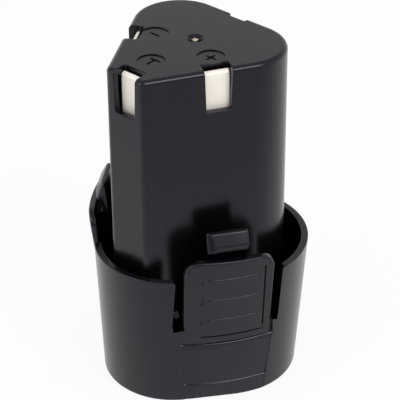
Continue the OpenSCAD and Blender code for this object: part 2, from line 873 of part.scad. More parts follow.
module lead_jacket(place, d) {
    translate([place.x, place.y, cell_z + lead_bare]) difference() {
        cylinder(d = d, h = board_z - cell_z - 2 * lead_bare);
        translate([0, 0, -eps]) cylinder(d = d * core_share, h = board_z - cell_z);
    }
}

module thermistor_bead() {
    color("#1f3d2b") translate([bead_place.x, bead_place.y, cell_z + bead_z]) {
        cylinder(d = bead_d, h = bead_len);
        sphere(d = bead_d);
    }
}

module thermistor_leads() {
    lead_z = cell_z + bead_z + bead_len;
    color("#9a2b25") for (s = [-1, 1])
        translate([bead_place.x + s * bead_lead_gap / 2, bead_place.y, lead_z])
            cylinder(d = bead_lead_d, h = board_z - lead_z);
}

base_cup();
tower_housing();
plus_latch();
minus_latch();
case_screws();
base_foam();
lower_paper();
lower_link();
negative_strip();
lower_spacer();
at_cell(right_cell, false) cell_can();  // right_cell_can
at_cell(right_cell, false) cell_roll();  // right_cell_roll
at_cell(right_cell, false) cell_gasket();  // right_cell_gasket
at_cell(right_cell, false) cell_cap();  // right_cell_cap
at_cell(right_cell, false) cell_ring();  // right_cell_ring
at_cell(right_cell, false) cell_sleeve();  // right_cell_sleeve
at_cell(front_cell, true) cell_can();  // front_cell_can
at_cell(front_cell, true) cell_roll();  // front_cell_roll
at_cell(front_cell, true) cell_gasket();  // front_cell_gasket
at_cell(front_cell, true) cell_cap();  // front_cell_cap
at_cell(front_cell, true) cell_ring();  // front_cell_ring
at_cell(front_cell, true) cell_sleeve();  // front_cell_sleeve
at_cell(left_cell, false) cell_can();  // left_cell_can
at_cell(left_cell, false) cell_roll();  // left_cell_roll
at_cell(left_cell, false) cell_gasket();  // left_cell_gasket
at_cell(left_cell, false) cell_cap();  // left_cell_cap
at_cell(left_cell, false) cell_ring();  // left_cell_ring
at_cell(left_cell, false) cell_sleeve();  // left_cell_sleeve
board_carrier();
positive_strip();
upper_link();
upper_paper();
circuit_board();
switch_chips();
monitor_chip();
shunt();
chip_parts();
plus_contact();
sense_contact();
minus_contact();
test_pin();
color("#202022") lead_jacket(middle, lead_d);  // negative_lead
lead_core(middle, lead_d);  // negative_lead_core
color("#d8d8d4") lead_jacket(sense_place, sense_d);  // sense_lead
lead_core(sense_place, sense_d);  // sense_lead_core
thermistor_bead();
thermistor_leads();
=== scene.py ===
# Looks of a small cordless tool's battery pack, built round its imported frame.
import json
import math

import bmesh
import bpy
from mathutils import Matrix, Vector


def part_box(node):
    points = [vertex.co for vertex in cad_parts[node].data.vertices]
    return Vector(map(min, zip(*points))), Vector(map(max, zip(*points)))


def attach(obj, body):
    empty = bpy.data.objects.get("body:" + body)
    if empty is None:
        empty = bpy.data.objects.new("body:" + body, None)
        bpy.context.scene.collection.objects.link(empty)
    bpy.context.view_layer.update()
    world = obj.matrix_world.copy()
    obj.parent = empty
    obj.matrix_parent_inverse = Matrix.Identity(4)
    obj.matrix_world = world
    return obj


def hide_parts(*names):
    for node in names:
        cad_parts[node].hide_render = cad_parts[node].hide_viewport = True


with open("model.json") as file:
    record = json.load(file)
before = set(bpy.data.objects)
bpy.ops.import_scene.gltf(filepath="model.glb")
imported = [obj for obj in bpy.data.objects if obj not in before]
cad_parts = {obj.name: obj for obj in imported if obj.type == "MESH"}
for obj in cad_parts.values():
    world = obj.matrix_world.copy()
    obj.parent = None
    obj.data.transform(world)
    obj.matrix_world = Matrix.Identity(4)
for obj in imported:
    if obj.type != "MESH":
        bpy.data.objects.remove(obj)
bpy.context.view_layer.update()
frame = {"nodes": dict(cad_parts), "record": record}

# Sizes are in millimetres and meshes in metres.
MM = 0.001
# How far a cutter stands past the face it opens, and a tool past all that it has to reach
OVER = 1
PAST = 12
# Least distance that keeps two faces or corners apart
HAIR = 0.01

# Cells and tower
CELL_R = 9.18
CELL_PITCH = 18.93
TOWER_WALL = 1.6
CELL_ROOM = 0.2
TOP_WALL = 1.85
TOP_FILLET = 1.2
FRONT_REACH = 12.42
FRONT_CORNER_R = 1.84
LEAST_R = 0.2
KEY_W = 5.6
KEY_DEPTH = 1.7
KEY_WALL = 1.4
KEY_LEN = 52
FRONT_ROOM = 2.24
BACK_ROOM = 4.69
SIDE_ROOM = 6.025
FIT_GAP = 0.15
TOWER_EDGE = 0.22

# Windows, signs and test hole
WINDOW_W = 5.9
WINDOW_FLARE = 0.7
WINDOW_H = 10.5
WINDOW_SHIFT = 0.7
WINDOW_R = 0.35
SIDE_NOTCH = 3.9
FRONT_NOTCH = 4.05
SIDE_RECESS = 1.85
FRONT_RECESS = 2.5
MARK_D = 6.7
MARK_DEPTH = 0.3
MARK_INSET = 7
MARK_SHIFT = 0.34
SENSE_INSET = 9.06
STROKE_W = 0.55
STROKE_LEN = 3
SIGN_EDGE = 0.06
TEST_BACK = 0.57
TEST_W = 2.2
TEST_DEPTH = 3
DIMPLE_D = 4.2
DIMPLE_DEPTH = 0.8
# The dimple's floor as a share of the hole's width, and how its slope goes on (out, up) over the top
DIMPLE_FLOOR = 1.1
DIMPLE_ON = (0.4, 0.5)
PIN_W = 1.3
PIN_DROP = 0.35
PIN_EDGE = 0.12

# Cup
CUP_H = 36.44
SIDE_R = 20.75
FRONT_R = 18.91
SIDE_DRAFT = 2.62
FRONT_DRAFT = 1.4
CUP_WALL = 1.7
CUP_FLOOR = 2.2
CUP_FOOT_R = 0.8
RIM_R = 0.25
MOULD_EDGE = 0.04
SOCKET_H = 3
SOCKET_T = 1.3
# How far pieces on the cup's floor go into it, and the room that the latch backings keep to
FLOOR_SINK = 0.5
BODY_SINK = 0.6
BODY_INSET = 0.3
FIN_TOP = 24.3
FIN_REACH = 2.2
FIN_SLOPE = math.radians(30)

# Latches
LATCH_TURN = math.radians(34.1)
LATCH_LEAN = math.radians(6.84)
LATCH_W = 21.2
LATCH_LEN = 24.47
LATCH_T = 2.2
ROOT_Z = 17.3
LATCH_INSET = 2.55
LATCH_OFFSET = 3.28
LATCH_TOP_R = 3.84
LATCH_LOW_R = 2.5
LATCH_GAP = 0.3
LATCH_CROWN = 50
LATCH_SEAM = 0.02
TONGUE_W = 21.9
TONGUE_TOP = 25.4
TONGUE_LOW = 0.05
TONGUE_RISE = 1.3
TONGUE_SHIFT = -0.2
TONGUE_EDGE = 0.4
TONGUE_BACK_EDGE = 0.9
TONGUE_LEFT_EDGE = 2
TONGUE_LEFT_FALL = 3
TONGUE_TILT = 0.45
TONGUE_TAPER = 0.35
TONGUE_FOOT = (-11.8, 10.5)
TONGUE_UNDER = (0.5, 0.25)
SLOT_OUT = 13.15
SLOT_Z = 22
SLOT_R = 0.7
SLOT_FALL = 6
SLOT_SLANT = 0.75
SLOT_LIFT = 0.7
SLOT_OVER = 4
FLOOR_HALF = 2
FLOOR_ENDS = (0.2, 0.3)
FOOT_DROP = 0.45
RAMP = 0.8
RAMP_OUT = 3
RAMP_LOW = 0.1
HINGE_GAP = 0.08
RAIL_IN = 2
RAIL_DROP = 4
FLAT_DEPTH = 0.75
FLAT_LEAN = math.radians(3.6)
FLAT_CROWN = 50
FLAT_TOP = 0.2
FLAT_Z = 4.75
FLAT_Y = (-11.8, 10.65)
FLAT_TAPER = (0.7, 1.4)
FLAT_TAPER_END = 1.2
FLAT_STEPS = 24
BAND_STEP = 0.28
BAND_LEAN = math.radians(4.1)
LEDGE_W = 0.38
LEDGE_TURNS = (0, 13, 26, 38, 38, 50, 62)
LEDGE_SLANT = 38
LEDGE_FACE = 0.65
LINE_DROP = 1.2
LINE_R = 0.12
PANEL_Y = (-7.15, 8.6)
PANEL_Z = (1.95, 22.6)
PANEL_DEPTH = 0.15
PANEL_R = 0.5
GROOVE_W = 0.36
GROOVE_DEPTH = 0.5
GROOVE_ENDS = (1.5, 0.5)
SILL_W = 0.22
SILL_ENDS = (0.2, 1)
TICK_W = 0.36
TICK_DEPTH = 0.25
TICK_LEN = 2.5
TICK_BELOW = 1
RIB_COUNT = 3
RIB_PITCH = 6.25
RIB_MID = (0.65, 13.45)
RIB_LEN = 12.2
RIB_R = 0.4
RIB_SINK = 0.12
RIB_STEPS = 7
CROWN_STEPS = 24
HOOK_W = 9.9
HOOK_TOP = 31
STEM_T = 1.65
HOOK_FLAT = 1.15
HOOK_REACH = 1.5
HOOK_DROP = 2.74
HOOK_NOSE = 1.75
HOOK_SHIFT = -0.4
HOOK_CORNER = 2.45
HOOK_CORNER_WAY = (0.805, -0.458, 0.376)
HOOK_UNDERCUT = 0.1
HOOK_EDGE = 0.38

# Contacts and screws
CONTACT_T = 0.6
CONTACT_DROP = 1.25
CONTACT_BEND = 1
CONTACT_FOOT = 3.2
CONTACT_EDGE = 0.06
BEND_STEPS = 10
SCORE_W = 0.32
SCORE_DEPTH = 0.22
BOARD_TOP = 75.5
SCREW_D = 2
SCREW_LEN = 9
HEAD_D = 3.6
HEAD_H = 1.4
HEAD_R = 0.4
HEAD_CHAMFER = 0.1
SHANK_ROOM = 0.05
SHANK_NECK = 0.3
THREAD_PITCH = 0.8
THREAD_DEPTH = 0.22
# Root and crest of a turn, as shares of the pitch
THREAD_TURN = (0.3, 0.65)
TIP_LEN = 1
TIP_R = 0.2
CROSS_W = 0.56
CROSS_LEN = 2.4
CROSS_DEPTH = HEAD_H / 1.5
SEAT_Z = 2.6
SEAT_T = 1.8
BOSS_D = 4.6
BOSS_SINK = 0.35
BORE_ROOM = 0.1
BORE_END = 0.6

# Share of a chip part's length, from its middle, where the tinned end starts
TIN_SHARE = 0.28

# Stage and room: directions, spans along them and levels of light; lengths in metres
FLOOR_R = 4
# Painted shade on the floor that only mirrored rays see: its direction, span and least glow
FLOOR_SHADE_WAY = (0.9, -0.44, 0)
FLOOR_SHADE_SPAN = (0.05, 0.13)
FLOOR_SHADE_LEAST = 0.71
FLOOR_GLOW = 0.9
ROOM_FILL = 0.75
ROOM_TOP = 0.67
ROOM_TOP_SPAN = (0.25, 0.5)
NEAR_WAY = (0.669, -0.743, 0)
NEAR_SPAN = (0.1, 0.6)
NEAR_DARK = 0.85
NEAR_DARK_SPAN = (0.12, 0.26)
LAMP_AIM = (0, 0, 0.06)

# Camera: turn, rise and roll in degrees
CAMERA_ANGLES = (41.98, 32.73, -0.364)
CAMERA_AIM = (0, 3.99, 40)
CAMERA_AWAY = 436
CAMERA_SHIFT = (0.0007, 0.0238)
SENSOR_W = 36
LENS = 159.66

# Places worked out from those sizes
TOWER_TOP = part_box("tower_housing")[1].z / MM
SILL_Z = TOWER_TOP - WINDOW_H
BOSS_Z = SEAT_Z + SEAT_T
TOWER_R = CELL_R + CELL_ROOM + TOWER_WALL
ROW = CELL_PITCH * math.sin(math.radians(60))
CELL_BACK = (ROW + FRONT_REACH + FRONT_ROOM - TOWER_R - BACK_ROOM) / 2
RIGHT_CELL = Vector((CELL_PITCH / 2, CELL_BACK))
FRONT_CELL = Vector((0, CELL_BACK - ROW))
MIDDLE_Y = CELL_BACK - ROW / 3
BACK_Y = CELL_BACK + TOWER_R
FRONT_Y = FRONT_CELL.y - FRONT_REACH
FLANK_OUT = Vector((math.cos(math.radians(30)), -0.5))
FLANK_ALONG = Vector((0.5, math.cos(math.radians(30))))
FLANK_REACH = RIGHT_CELL.dot(FLANK_OUT) + TOWER_R
FLANK_MID = (RIGHT_CELL + FRONT_CELL) / 2
CUP_W = CELL_PITCH + 2 * (TOWER_R + SIDE_ROOM + CUP_WALL)
CUP_D = 2 * (BACK_Y + BACK_ROOM + CUP_WALL)
SIDE_C = Vector((CUP_W / 2 - SIDE_R, CUP_D / 2 - SIDE_R))
FRONT_C = Vector((0, FRONT_R - CUP_D / 2))
LATCH_OUT = Vector((math.cos(LATCH_TURN), -math.sin(LATCH_TURN)))
LATCH_ALONG = Vector((math.sin(LATCH_TURN), math.cos(LATCH_TURN)))
ROOT_R = LATCH_T / 2
ROOT_HALF = LATCH_W / 2 - LATCH_LOW_R
CUP_REACH = SIDE_C.dot(LATCH_OUT) + SIDE_R - SIDE_DRAFT * (1 - ROOT_Z / CUP_H)
HINGE_N = CUP_REACH - LATCH_INSET - ROOT_R
HINGE_T = SIDE_C.dot(LATCH_ALONG) - LATCH_OFFSET
BOSS_REACH = CELL_R + CELL_ROOM - BOSS_D / 2 + BOSS_SINK
SIDE_SCREW = FLANK_MID + BOSS_REACH * FLANK_OUT
SCREW_PLACES = [(SIDE_SCREW.x, SIDE_SCREW.y), (-SIDE_SCREW.x, SIDE_SCREW.y), (0, CELL_BACK + BOSS_REACH)]
FLAT_SAG = TONGUE_W ** 2 / (8 * FLAT_CROWN)


# Mesh building

def new_object(name, mesh):
    made = bpy.data.objects.new(name, mesh)
    bpy.context.scene.collection.objects.link(made)
    return made


def from_bmesh(name, work):
    mesh = bpy.data.meshes.new(name)
    work.to_mesh(mesh)
    work.free()
    return new_object(name, mesh)


def loft(name, rings, place=Matrix.Identity(4)):
    """Closed solid through rings of equally many (x, y, z) points in millimetres, capped at both ends."""
    work = bmesh.new()
    rows = [[work.verts.new(MM * (place @ Vector(p))) for p in ring] for ring in rings]
    count = len(rings[0])
    for low, high in zip(rows, rows[1:]):
        for i in range(count):
            j = (i + 1) % count
            work.faces.new((low[i], low[j], high[j], high[i]))
    work.faces.new(reversed(rows[0]))
    work.faces.new(rows[-1])
    bmesh.ops.remove_doubles(work, verts=work.verts, dist=1e-4 * MM)
    return from_bmesh(name, work)


def prism(name, outline, low, high, place=Matrix.Identity(4)):
    """Outline of (x, y) points, anticlockwise, raised from low to high."""
    return loft(name, [[(x, y, z) for x, y in outline] for z in (low, high)], place)


def block(name, low, high, place=Matrix.Identity(4)):
    outline = [(low[0], low[1]), (high[0], low[1]), (high[0], high[1]), (low[0], high[1])]
    return prism(name, outline, low[2], high[2], place)


def circle(x, y, r, steps=48):
    return [(x + r * math.cos(math.tau * k / steps), y + r * math.sin(math.tau * k / steps))
            for k in range(steps)]


def post(name, x, y, r, low, high):
    return prism(name, circle(x, y, r), low, high)


def tangent_angle(a, b):
    """Direction of the outward normal on the line that touches circles a and b, going anticlockwise."""
    way = Vector((b[0] - a[0], b[1] - a[1]))
    return math.atan2(way.y, way.x) - math.acos((a[2] - b[2]) / way.length)


def round_hull(circles, steps):
    """Points round the hull of circles (x, y, radius), anticlockwise, with so many steps on each arc."""
    points = []
    for i, (x, y, r) in enumerate(circles):
        start = tangent_angle(circles[i - 1], circles[i])
        end = tangent_angle(circles[i], circles[(i + 1) % len(circles)])
        sweep = (end - start) % math.tau
        for k in range(steps[i] + 1):
            a = start + sweep * k / steps[i]
            points.append((x + r * math.cos(a), y + r * math.sin(a)))
    return points


def fillet(r, steps=6):
    """(inset, drop) pairs along a quarter round, from the side face to the end face."""
    turns = [math.pi / 2 * k / steps for k in range(steps + 1)]
    return [(r * (1 - math.cos(a)), r * (1 - math.sin(a))) for a in turns]


def settle(piece):
    """Turns the piece's modifiers into plain mesh."""
    graph = bpy.context.evaluated_depsgraph_get()
    mesh = bpy.data.meshes.new_from_object(piece.evaluated_get(graph))
    old = piece.data
    piece.modifiers.clear()
    piece.data = mesh
    bpy.data.meshes.remove(old)
    return piece


def combine(piece, operation, *tools):
    """Adds, cuts or keeps the common part of the tools, which are used up."""
    for tool in tools:
        step = piece.modifiers.new(operation, "BOOLEAN")
        step.operation = operation
        step.solver = "EXACT"
        step.object = tool
        settle(piece)
        bpy.data.meshes.remove(tool.data)
    return piece


def clean(piece):
    """Merges what the cuts left double and joins faces that lie in one plane."""
    work = bmesh.new()
    work.from_mesh(piece.data)
    bmesh.ops.remove_doubles(work, verts=work.verts, dist=2e-3 * MM)
    bmesh.ops.dissolve_degenerate(work, edges=work.edges, dist=1e-3 * MM)
    bmesh.ops.dissolve_limit(work, angle_limit=math.radians(0.2), verts=work.verts, edges=work.edges)
    work.to_mesh(piece.data)
    work.free()
    return piece


def ease(piece, width, steps=3, angle=38):
    """Rounds every edge sharper than the angle."""
    clean(piece)
    step = piece.modifiers.new("edges", "BEVEL")
    step.width = width * MM
    step.segments = steps
    step.limit_method = "ANGLE"
    step.angle_limit = math.radians(angle)
    step.use_clamp_overlap = False
    step.miter_outer = "MITER_ARC"
    return settle(piece)


def shade(piece, angle=32):
    """Smooth shading that keeps edges sharper than the angle, with flat faces kept flat."""
    piece.data.shade_smooth()
    piece.data.set_sharp_from_angle(angle=math.radians(angle))
    step = piece.modifiers.new("normals", "WEIGHTED_NORMAL")
    step.keep_sharp = True
    step.weight = 60
    return settle(piece)


def mirrored(piece, name):
    """Copy of a piece, mirrored about the plane between the two latches."""
    work = bmesh.new()
    work.from_mesh(piece.data)
    bmesh.ops.transform(work, matrix=Matrix.Scale(-1, 4, (1, 0, 0)), verts=work.verts)
    bmesh.ops.reverse_faces(work, faces=work.faces)
    return from_bmesh(name, work)


def move(piece, place):
    """Moves a piece's mesh by a matrix in millimetres."""
    scaled = place.copy()
    scaled.translation = place.translation * MM
    piece.data.transform(scaled)
    return piece


def copies_tree():
    """Geometry nodes that put a piece on every point of a mesh."""
    tree = bpy.data.node_groups.new("copies_on_points", "GeometryNodeTree")
    for name, kind in (("Points", "Geometry"), ("Piece", "Object"), ("Material", "Material")):
        tree.interface.new_socket(name, in_out="INPUT", socket_type="NodeSocket" + kind)
    tree.interface.new_socket("Copies", in_out="OUTPUT", socket_type="NodeSocketGeometry")
    given = node(tree, "NodeGroupInput").outputs
    piece = node(tree, "GeometryNodeObjectInfo", {"Object": given["Piece"]})
    spread = node(tree, "GeometryNodeInstanceOnPoints",
                  {"Points": given["Points"], "Instance": piece.outputs["Geometry"]})
    real = node(tree, "GeometryNodeRealizeInstances", {"Geometry": spread.outputs["Instances"]})
    paint = node(tree, "GeometryNodeSetMaterial",
                 {"Geometry": real.outputs["Geometry"], "Material": given["Material"]})
    node(tree, "NodeGroupOutput", {"Copies": paint.outputs["Geometry"]})
    return tree


def copies(name, places, piece, material):
    """Copies of a piece, which is used up, on points in millimetres."""
    mesh = bpy.data.meshes.new(name)
    mesh.from_pydata([MM * Vector(p) for p in places], [], [])
    made = new_object(name, mesh)
    tree = copies_tree()
    step = made.modifiers.new("copies", "NODES")
    step.node_group = tree
    values = {"Piece": piece, "Material": material}
    for socket in tree.interface.items_tree:
        if socket.name in values:
            step[socket.identifier] = values[socket.name]
    settle(made)
    bpy.data.meshes.remove(piece.data)
    return made


# Frames on the pack: +X leads out of a face, Y runs along it and Z is up

def face_frame(out, along, origin):
    rows = [[out.x, along.x, 0, origin.x], [out.y, along.y, 0, origin.y], [0, 0, 1, 0], [0, 0, 0, 1]]
    return Matrix(rows)


PLUS_MIDDLE = FLANK_OUT * FLANK_REACH + FLANK_ALONG * (FLANK_MID.dot(FLANK_ALONG) + WINDOW_SHIFT)
PLUS_FACE = face_frame(FLANK_OUT, FLANK_ALONG, PLUS_MIDDLE)
FRONT_FACE = face_frame(Vector((0, -1)), Vector((1, 0)), Vector((0, FRONT_Y)))
MINUS_FACE = Matrix.Scale(-1, 4, (1, 0, 0)) @ PLUS_FACE @ Matrix.Scale(-1, 4, (0, 1, 0))
LATCH_PLACE = LATCH_OUT * HINGE_N + LATCH_ALONG * HINGE_T
AT_LATCH = Matrix.Translation((0, 0, ROOT_Z)) @ face_frame(LATCH_OUT, LATCH_ALONG, LATCH_PLACE)
LEAN = AT_LATCH @ Matrix.Rotation(LATCH_LEAN, 4, "Y")
# Turns an outline drawn in (along, up) into one that is raised outwards
UPRIGHT = Matrix(((0, 0, 1, 0), (1, 0, 0, 0), (0, 1, 0, 0), (0, 0, 0, 1)))
# Turns an outline drawn in (out, up) into one that is raised along the face
PROFILE = Matrix(((1, 0, 0, 0), (0, 0, -1, 0), (0, 1, 0, 0), (0, 0, 0, 1)))


# Tower

def tower_ring(inset, z):
    corner_r = max(FRONT_CORNER_R - inset, LEAST_R)
    corner_y = FRONT_Y + inset + corner_r
    corner_x = (FLANK_REACH - inset - corner_r + corner_y * 0.5) / FLANK_OUT.x
    rear_r = TOWER_R - inset
    circles = [(RIGHT_CELL.x, CELL_BACK, rear_r), (-RIGHT_CELL.x, CELL_BACK, rear_r),
               (-corner_x, corner_y, corner_r), (corner_x, corner_y, corner_r)]
    return [(x, y, z) for x, y in round_hull(circles, (40, 40, 10, 10))]


def window_cut(place, notch):
    r = WINDOW_R
    rings = []
    for width, z in ((WINDOW_W, SILL_Z), (WINDOW_W + WINDOW_FLARE, TOWER_TOP),
                     (WINDOW_W + WINDOW_FLARE, TOWER_TOP + OVER)):
        half = width / 2
        corners = [(OVER, -half, HAIR), (OVER, half, HAIR),
                   (r - notch, half - r, r), (r - notch, r - half, r)]
        rings.append([(x, y, z) for x, y in round_hull(corners, (1, 1, 6, 6))])
    return loft("window", rings, place)


def stroke_cut(along, across, place):
    r = STROKE_W / 2 - HAIR
    x, y = along / 2 - r, across / 2 - r
    circles = [(x, y, r), (-x, y, r), (-x, -y, r), (x, -y, r)]
    return prism("stroke", round_hull(circles, (5, 5, 5, 5)), -2 * MARK_DEPTH, OVER, place)


def sign_cuts():
    """Sunk discs with a plus, a minus and a T cut deeper."""
    long_way = (STROKE_LEN, STROKE_W)
    short_way = (STROKE_W, STROKE_LEN)
    bar = Matrix.Translation(((STROKE_W - STROKE_LEN) / 2, 0, 0))
    still = Matrix.Identity(4)
    signs = [(PLUS_FACE, MARK_INSET, MARK_SHIFT, 30, [(long_way, still), (short_way, still)]),
             (MINUS_FACE, MARK_INSET, -MARK_SHIFT, -30, [(long_way, still)]),
             (FRONT_FACE, SENSE_INSET, 0, 0, [(long_way, still), (short_way, bar)])]
    cuts = []
    for face, inset, shift, turn, strokes in signs:
        place = face @ Matrix.Translation((-inset, shift, TOWER_TOP - MARK_DEPTH))
        place = place @ Matrix.Rotation(math.radians(turn), 4, "Z")
        cuts.append(prism("disc", circle(0, 0, MARK_D / 2, 64), 0, OVER, place))
        cuts += [stroke_cut(*size, place @ nudge) for size, nudge in strokes]
    return cuts


def test_cut():
    """Square test hole with a round dimple at its mouth."""
    y = MIDDLE_Y + TEST_BACK
    half = TEST_W / 2
    r = DIMPLE_D / 2
    out, up = DIMPLE_ON
    rings = [[(px, py, z) for px, py in circle(0, y, radius)]
             for radius, z in ((half * DIMPLE_FLOOR, TOWER_TOP - DIMPLE_DEPTH), (r, TOWER_TOP),
                               (r + out, TOWER_TOP + up))]
    hole = block("hole", (-half, y - half, TOWER_TOP - TEST_DEPTH), (half, y + half, TOWER_TOP + OVER))
    return [loft("dimple", rings), hole]


def make_tower():
    low = CUP_FLOOR
    rings = [tower_ring(TOWER_WALL, TOWER_TOP - TOP_WALL), tower_ring(TOWER_WALL, low), tower_ring(0, low)]
    rings += [tower_ring(inset, TOWER_TOP - drop) for inset, drop in fillet(TOP_FILLET, 8)]
    tower = loft("tower", rings)
    half = KEY_W / 2
    key_low = TOWER_TOP - KEY_LEN
    key_in = BACK_Y - KEY_DEPTH
    bosses = [post("boss", x, y, BOSS_D / 2, BOSS_Z, BOSS_Z + SCREW_LEN) for x, y in SCREW_PLACES]
    body = loft("body", [tower_ring(TOWER_WALL / 2, z) for z in (BOSS_Z - OVER, BOSS_Z + SCREW_LEN + OVER)])
    for boss in bosses:
        keep = new_object("keep", body.data.copy())
        combine(boss, "INTERSECT", keep)
    bpy.data.meshes.remove(body.data)
    key_wall = block("key_wall", (-half - KEY_WALL, key_in - KEY_WALL, key_low - KEY_WALL),
                     (half + KEY_WALL, BACK_Y - TOWER_WALL / 2, TOWER_TOP - TOP_WALL / 2))
    combine(tower, "UNION", key_wall, *bosses)
    combine(tower, "DIFFERENCE",
            block("groove", (-half, key_in, key_low), (half, BACK_Y + OVER, TOWER_TOP + OVER)),
            window_cut(PLUS_FACE, SIDE_NOTCH), window_cut(MINUS_FACE, SIDE_NOTCH),
            window_cut(FRONT_FACE, FRONT_NOTCH),
            *[post("bore", x, y, SCREW_D / 2, BOSS_Z - OVER, BOSS_Z + SCREW_LEN - SEAT_T + BORE_END)
              for x, y in SCREW_PLACES])
    ease(tower, TOWER_EDGE)
    combine(tower, "DIFFERENCE", *sign_cuts(), *test_cut())
    return ease(tower, SIGN_EDGE, 2, 50)


# Cup

def cup_ring(inset, z):
    lost = 1 - z / CUP_H
    side_r = SIDE_R - inset - SIDE_DRAFT * lost
    front_r = FRONT_R - inset - FRONT_DRAFT * lost
    circles = [(SIDE_C.x, SIDE_C.y, side_r), (-SIDE_C.x, SIDE_C.y, side_r), (0, FRONT_C.y, front_r)]
    return [(x, y, z) for x, y in round_hull(circles, (48, 48, 40))]


def at_both(make):
    """One tool at the plus latch and its mirror image at the minus latch."""
    first = make()
    return [first, mirrored(first, first.name)]


def latch_backing():
    """Wall behind a flat, and the rail that holds the latch's root."""
    half = LATCH_W / 2 + CUP_WALL
    flat_drop = FLAT_SAG + (ROOT_Z - FLAT_Z) * math.tan(FLAT_LEAN)
    wall_x = CUP_REACH - FLAT_DEPTH - flat_drop - CUP_WALL - HINGE_N
    wall = block("backing", (wall_x, -half, CUP_FLOOR - FLOOR_SINK - ROOT_Z), (PAST, half, ROOT_R), AT_LATCH)
    rail = block("rail", (-RAIL_IN, -half, -RAIL_DROP), (PAST, half, ROOT_R - HAIR), AT_LATCH)
    return combine(wall, "UNION", rail)


def slot_outline():
    """Room for a tongue and the slots beside it, as (along, up), with round corners at the rim."""
    left = TONGUE_FOOT[0] - LATCH_SEAM
    right = TONGUE_FOOT[1] + LATCH_SEAM
    low = -TONGUE_LOW - LATCH_SEAM
    slot_low = SLOT_Z - ROOT_Z
    rim = (CUP_H - ROOT_Z) / math.cos(LATCH_LEAN)

    def arc(x, y, r, start, end, steps=8):
        turns = [math.radians(start + (end - start) * k / steps) for k in range(steps + 1)]
        return [(x + r * math.cos(a), y + r * math.sin(a)) for a in turns]

    def side(sign):
        low_out = SLOT_OUT - sign * SLOT_SLANT
        low_z = slot_low + SLOT_R + (SLOT_LIFT if sign < 0 else 0)
        points = arc(low_out - SLOT_R, low_z, SLOT_R, -90, 0)
        points += arc(SLOT_OUT + SLOT_R, rim - SLOT_R, SLOT_R, 180, 90)
        return [(sign * x, y) for x, y in points + [(SLOT_OUT + SLOT_R, rim + SLOT_OVER)]]

    ends = [(left, slot_low), (left, low), (right, low), (right, slot_low)]
    return ends + side(1) + side(-1)[::-1]


def latch_room():
    """Cutter for the tongue, its slots and their sloping floors, the root and the ramp at the right."""
    room = prism("room", slot_outline(), -PAST / 2, 2 * PAST, LEAN @ UPRIGHT)
    root_end = ROOT_HALF + LATCH_GAP
    root = prism("root_room", circle(0, 0, ROOT_R + HINGE_GAP), -root_end, root_end, AT_LATCH @ PROFILE)
    low = SLOT_Z - ROOT_Z
    high = low + OVER
    right = TONGUE_FOOT[1] + LATCH_SEAM
    inset, left_inset = FLOOR_ENDS
    right_ends = (right + inset, SLOT_OUT - SLOT_SLANT - inset)
    left_ends = (inset - SLOT_OUT - SLOT_SLANT, TONGUE_FOOT[0] - left_inset)
    fall = [(-FLOOR_HALF, low - SLOT_FALL), (FLOOR_HALF, low), (FLOOR_HALF, high), (-FLOOR_HALF, high)]
    rise = Matrix.Translation((0, 0, SLOT_LIFT))
    floors = [prism("slot_floor", fall, -ends[1], -ends[0], LEAN @ shift @ PROFILE)
              for shift, ends in ((Matrix.Identity(4), right_ends), (rise, left_ends))]
    near_x = ROOT_R + TONGUE_RISE - right ** 2 / (2 * LATCH_CROWN)
    far_x = near_x + RAMP_OUT
    ramp = [(near_x, right - OVER), (far_x, right - OVER), (far_x, right + RAMP_OUT * RAMP), (near_x, right)]
    return combine(room, "UNION", root, *floors, prism("ramp", ramp, RAMP_LOW - TONGUE_LOW, high, LEAN))


def ledge(width):
    """(inset, drop) pairs up the edge of a ledge: a small round with a narrow slanted face in it."""
    slant = math.radians(LEDGE_SLANT)
    points = []
    for k, a in enumerate(math.radians(turn) for turn in LEDGE_TURNS):
        slide = LEDGE_FACE if k > LEDGE_TURNS.index(LEDGE_SLANT) else 0
        points.append((1 - math.cos(a) + slide * math.sin(slant), math.sin(a) + slide * math.cos(slant)))
    across, top = points[-1]
    return [(width / across * inset, width / across * (top - rise)) for inset, rise in points]


def flat_cut():
    """Crowned flat under a tongue and the shallower band below it, with rounded upper edges."""
    start = CUP_REACH - FLAT_DEPTH - HINGE_N
    step_z = FLAT_Z - ROOT_Z
    band = start + step_z * math.tan(FLAT_LEAN) + BAND_STEP

    def ring(x, z):
        down = min(max(z / step_z, 0), FLAT_TAPER_END)
        left, right = FLAT_Y[0] + FLAT_TAPER[0] * down, FLAT_Y[1] - FLAT_TAPER[1] * down
        across = [right + (left - right) * k / FLAT_STEPS for k in range(FLAT_STEPS + 1)]
        crown = [(x - y * y / (2 * FLAT_CROWN), y, z) for y in across]
        return [(PAST, left, z), (PAST, right + RAMP * (PAST - crown[0][0]), z)] + crown

    rings = [ring(band - (step_z + ROOT_Z + OVER) * math.tan(BAND_LEAN), -ROOT_Z - OVER)]
    rings += [ring(band - inset, step_z - drop) for inset, drop in ledge(BAND_STEP)]
    line_x = start - FLAT_TOP * math.tan(FLAT_LEAN)
    rings += [ring(line_x - inset, -FLAT_TOP - LINE_DROP - drop) for inset, drop in fillet(LINE_R)]
    rings += [ring(line_x - LINE_R - inset, -FLAT_TOP - drop) for inset, drop in ledge(LEDGE_W)]
    rings += [ring(line_x - LINE_R - LEDGE_W, 2 * FLAT_TOP)]
    return loft("flat", rings, AT_LATCH)


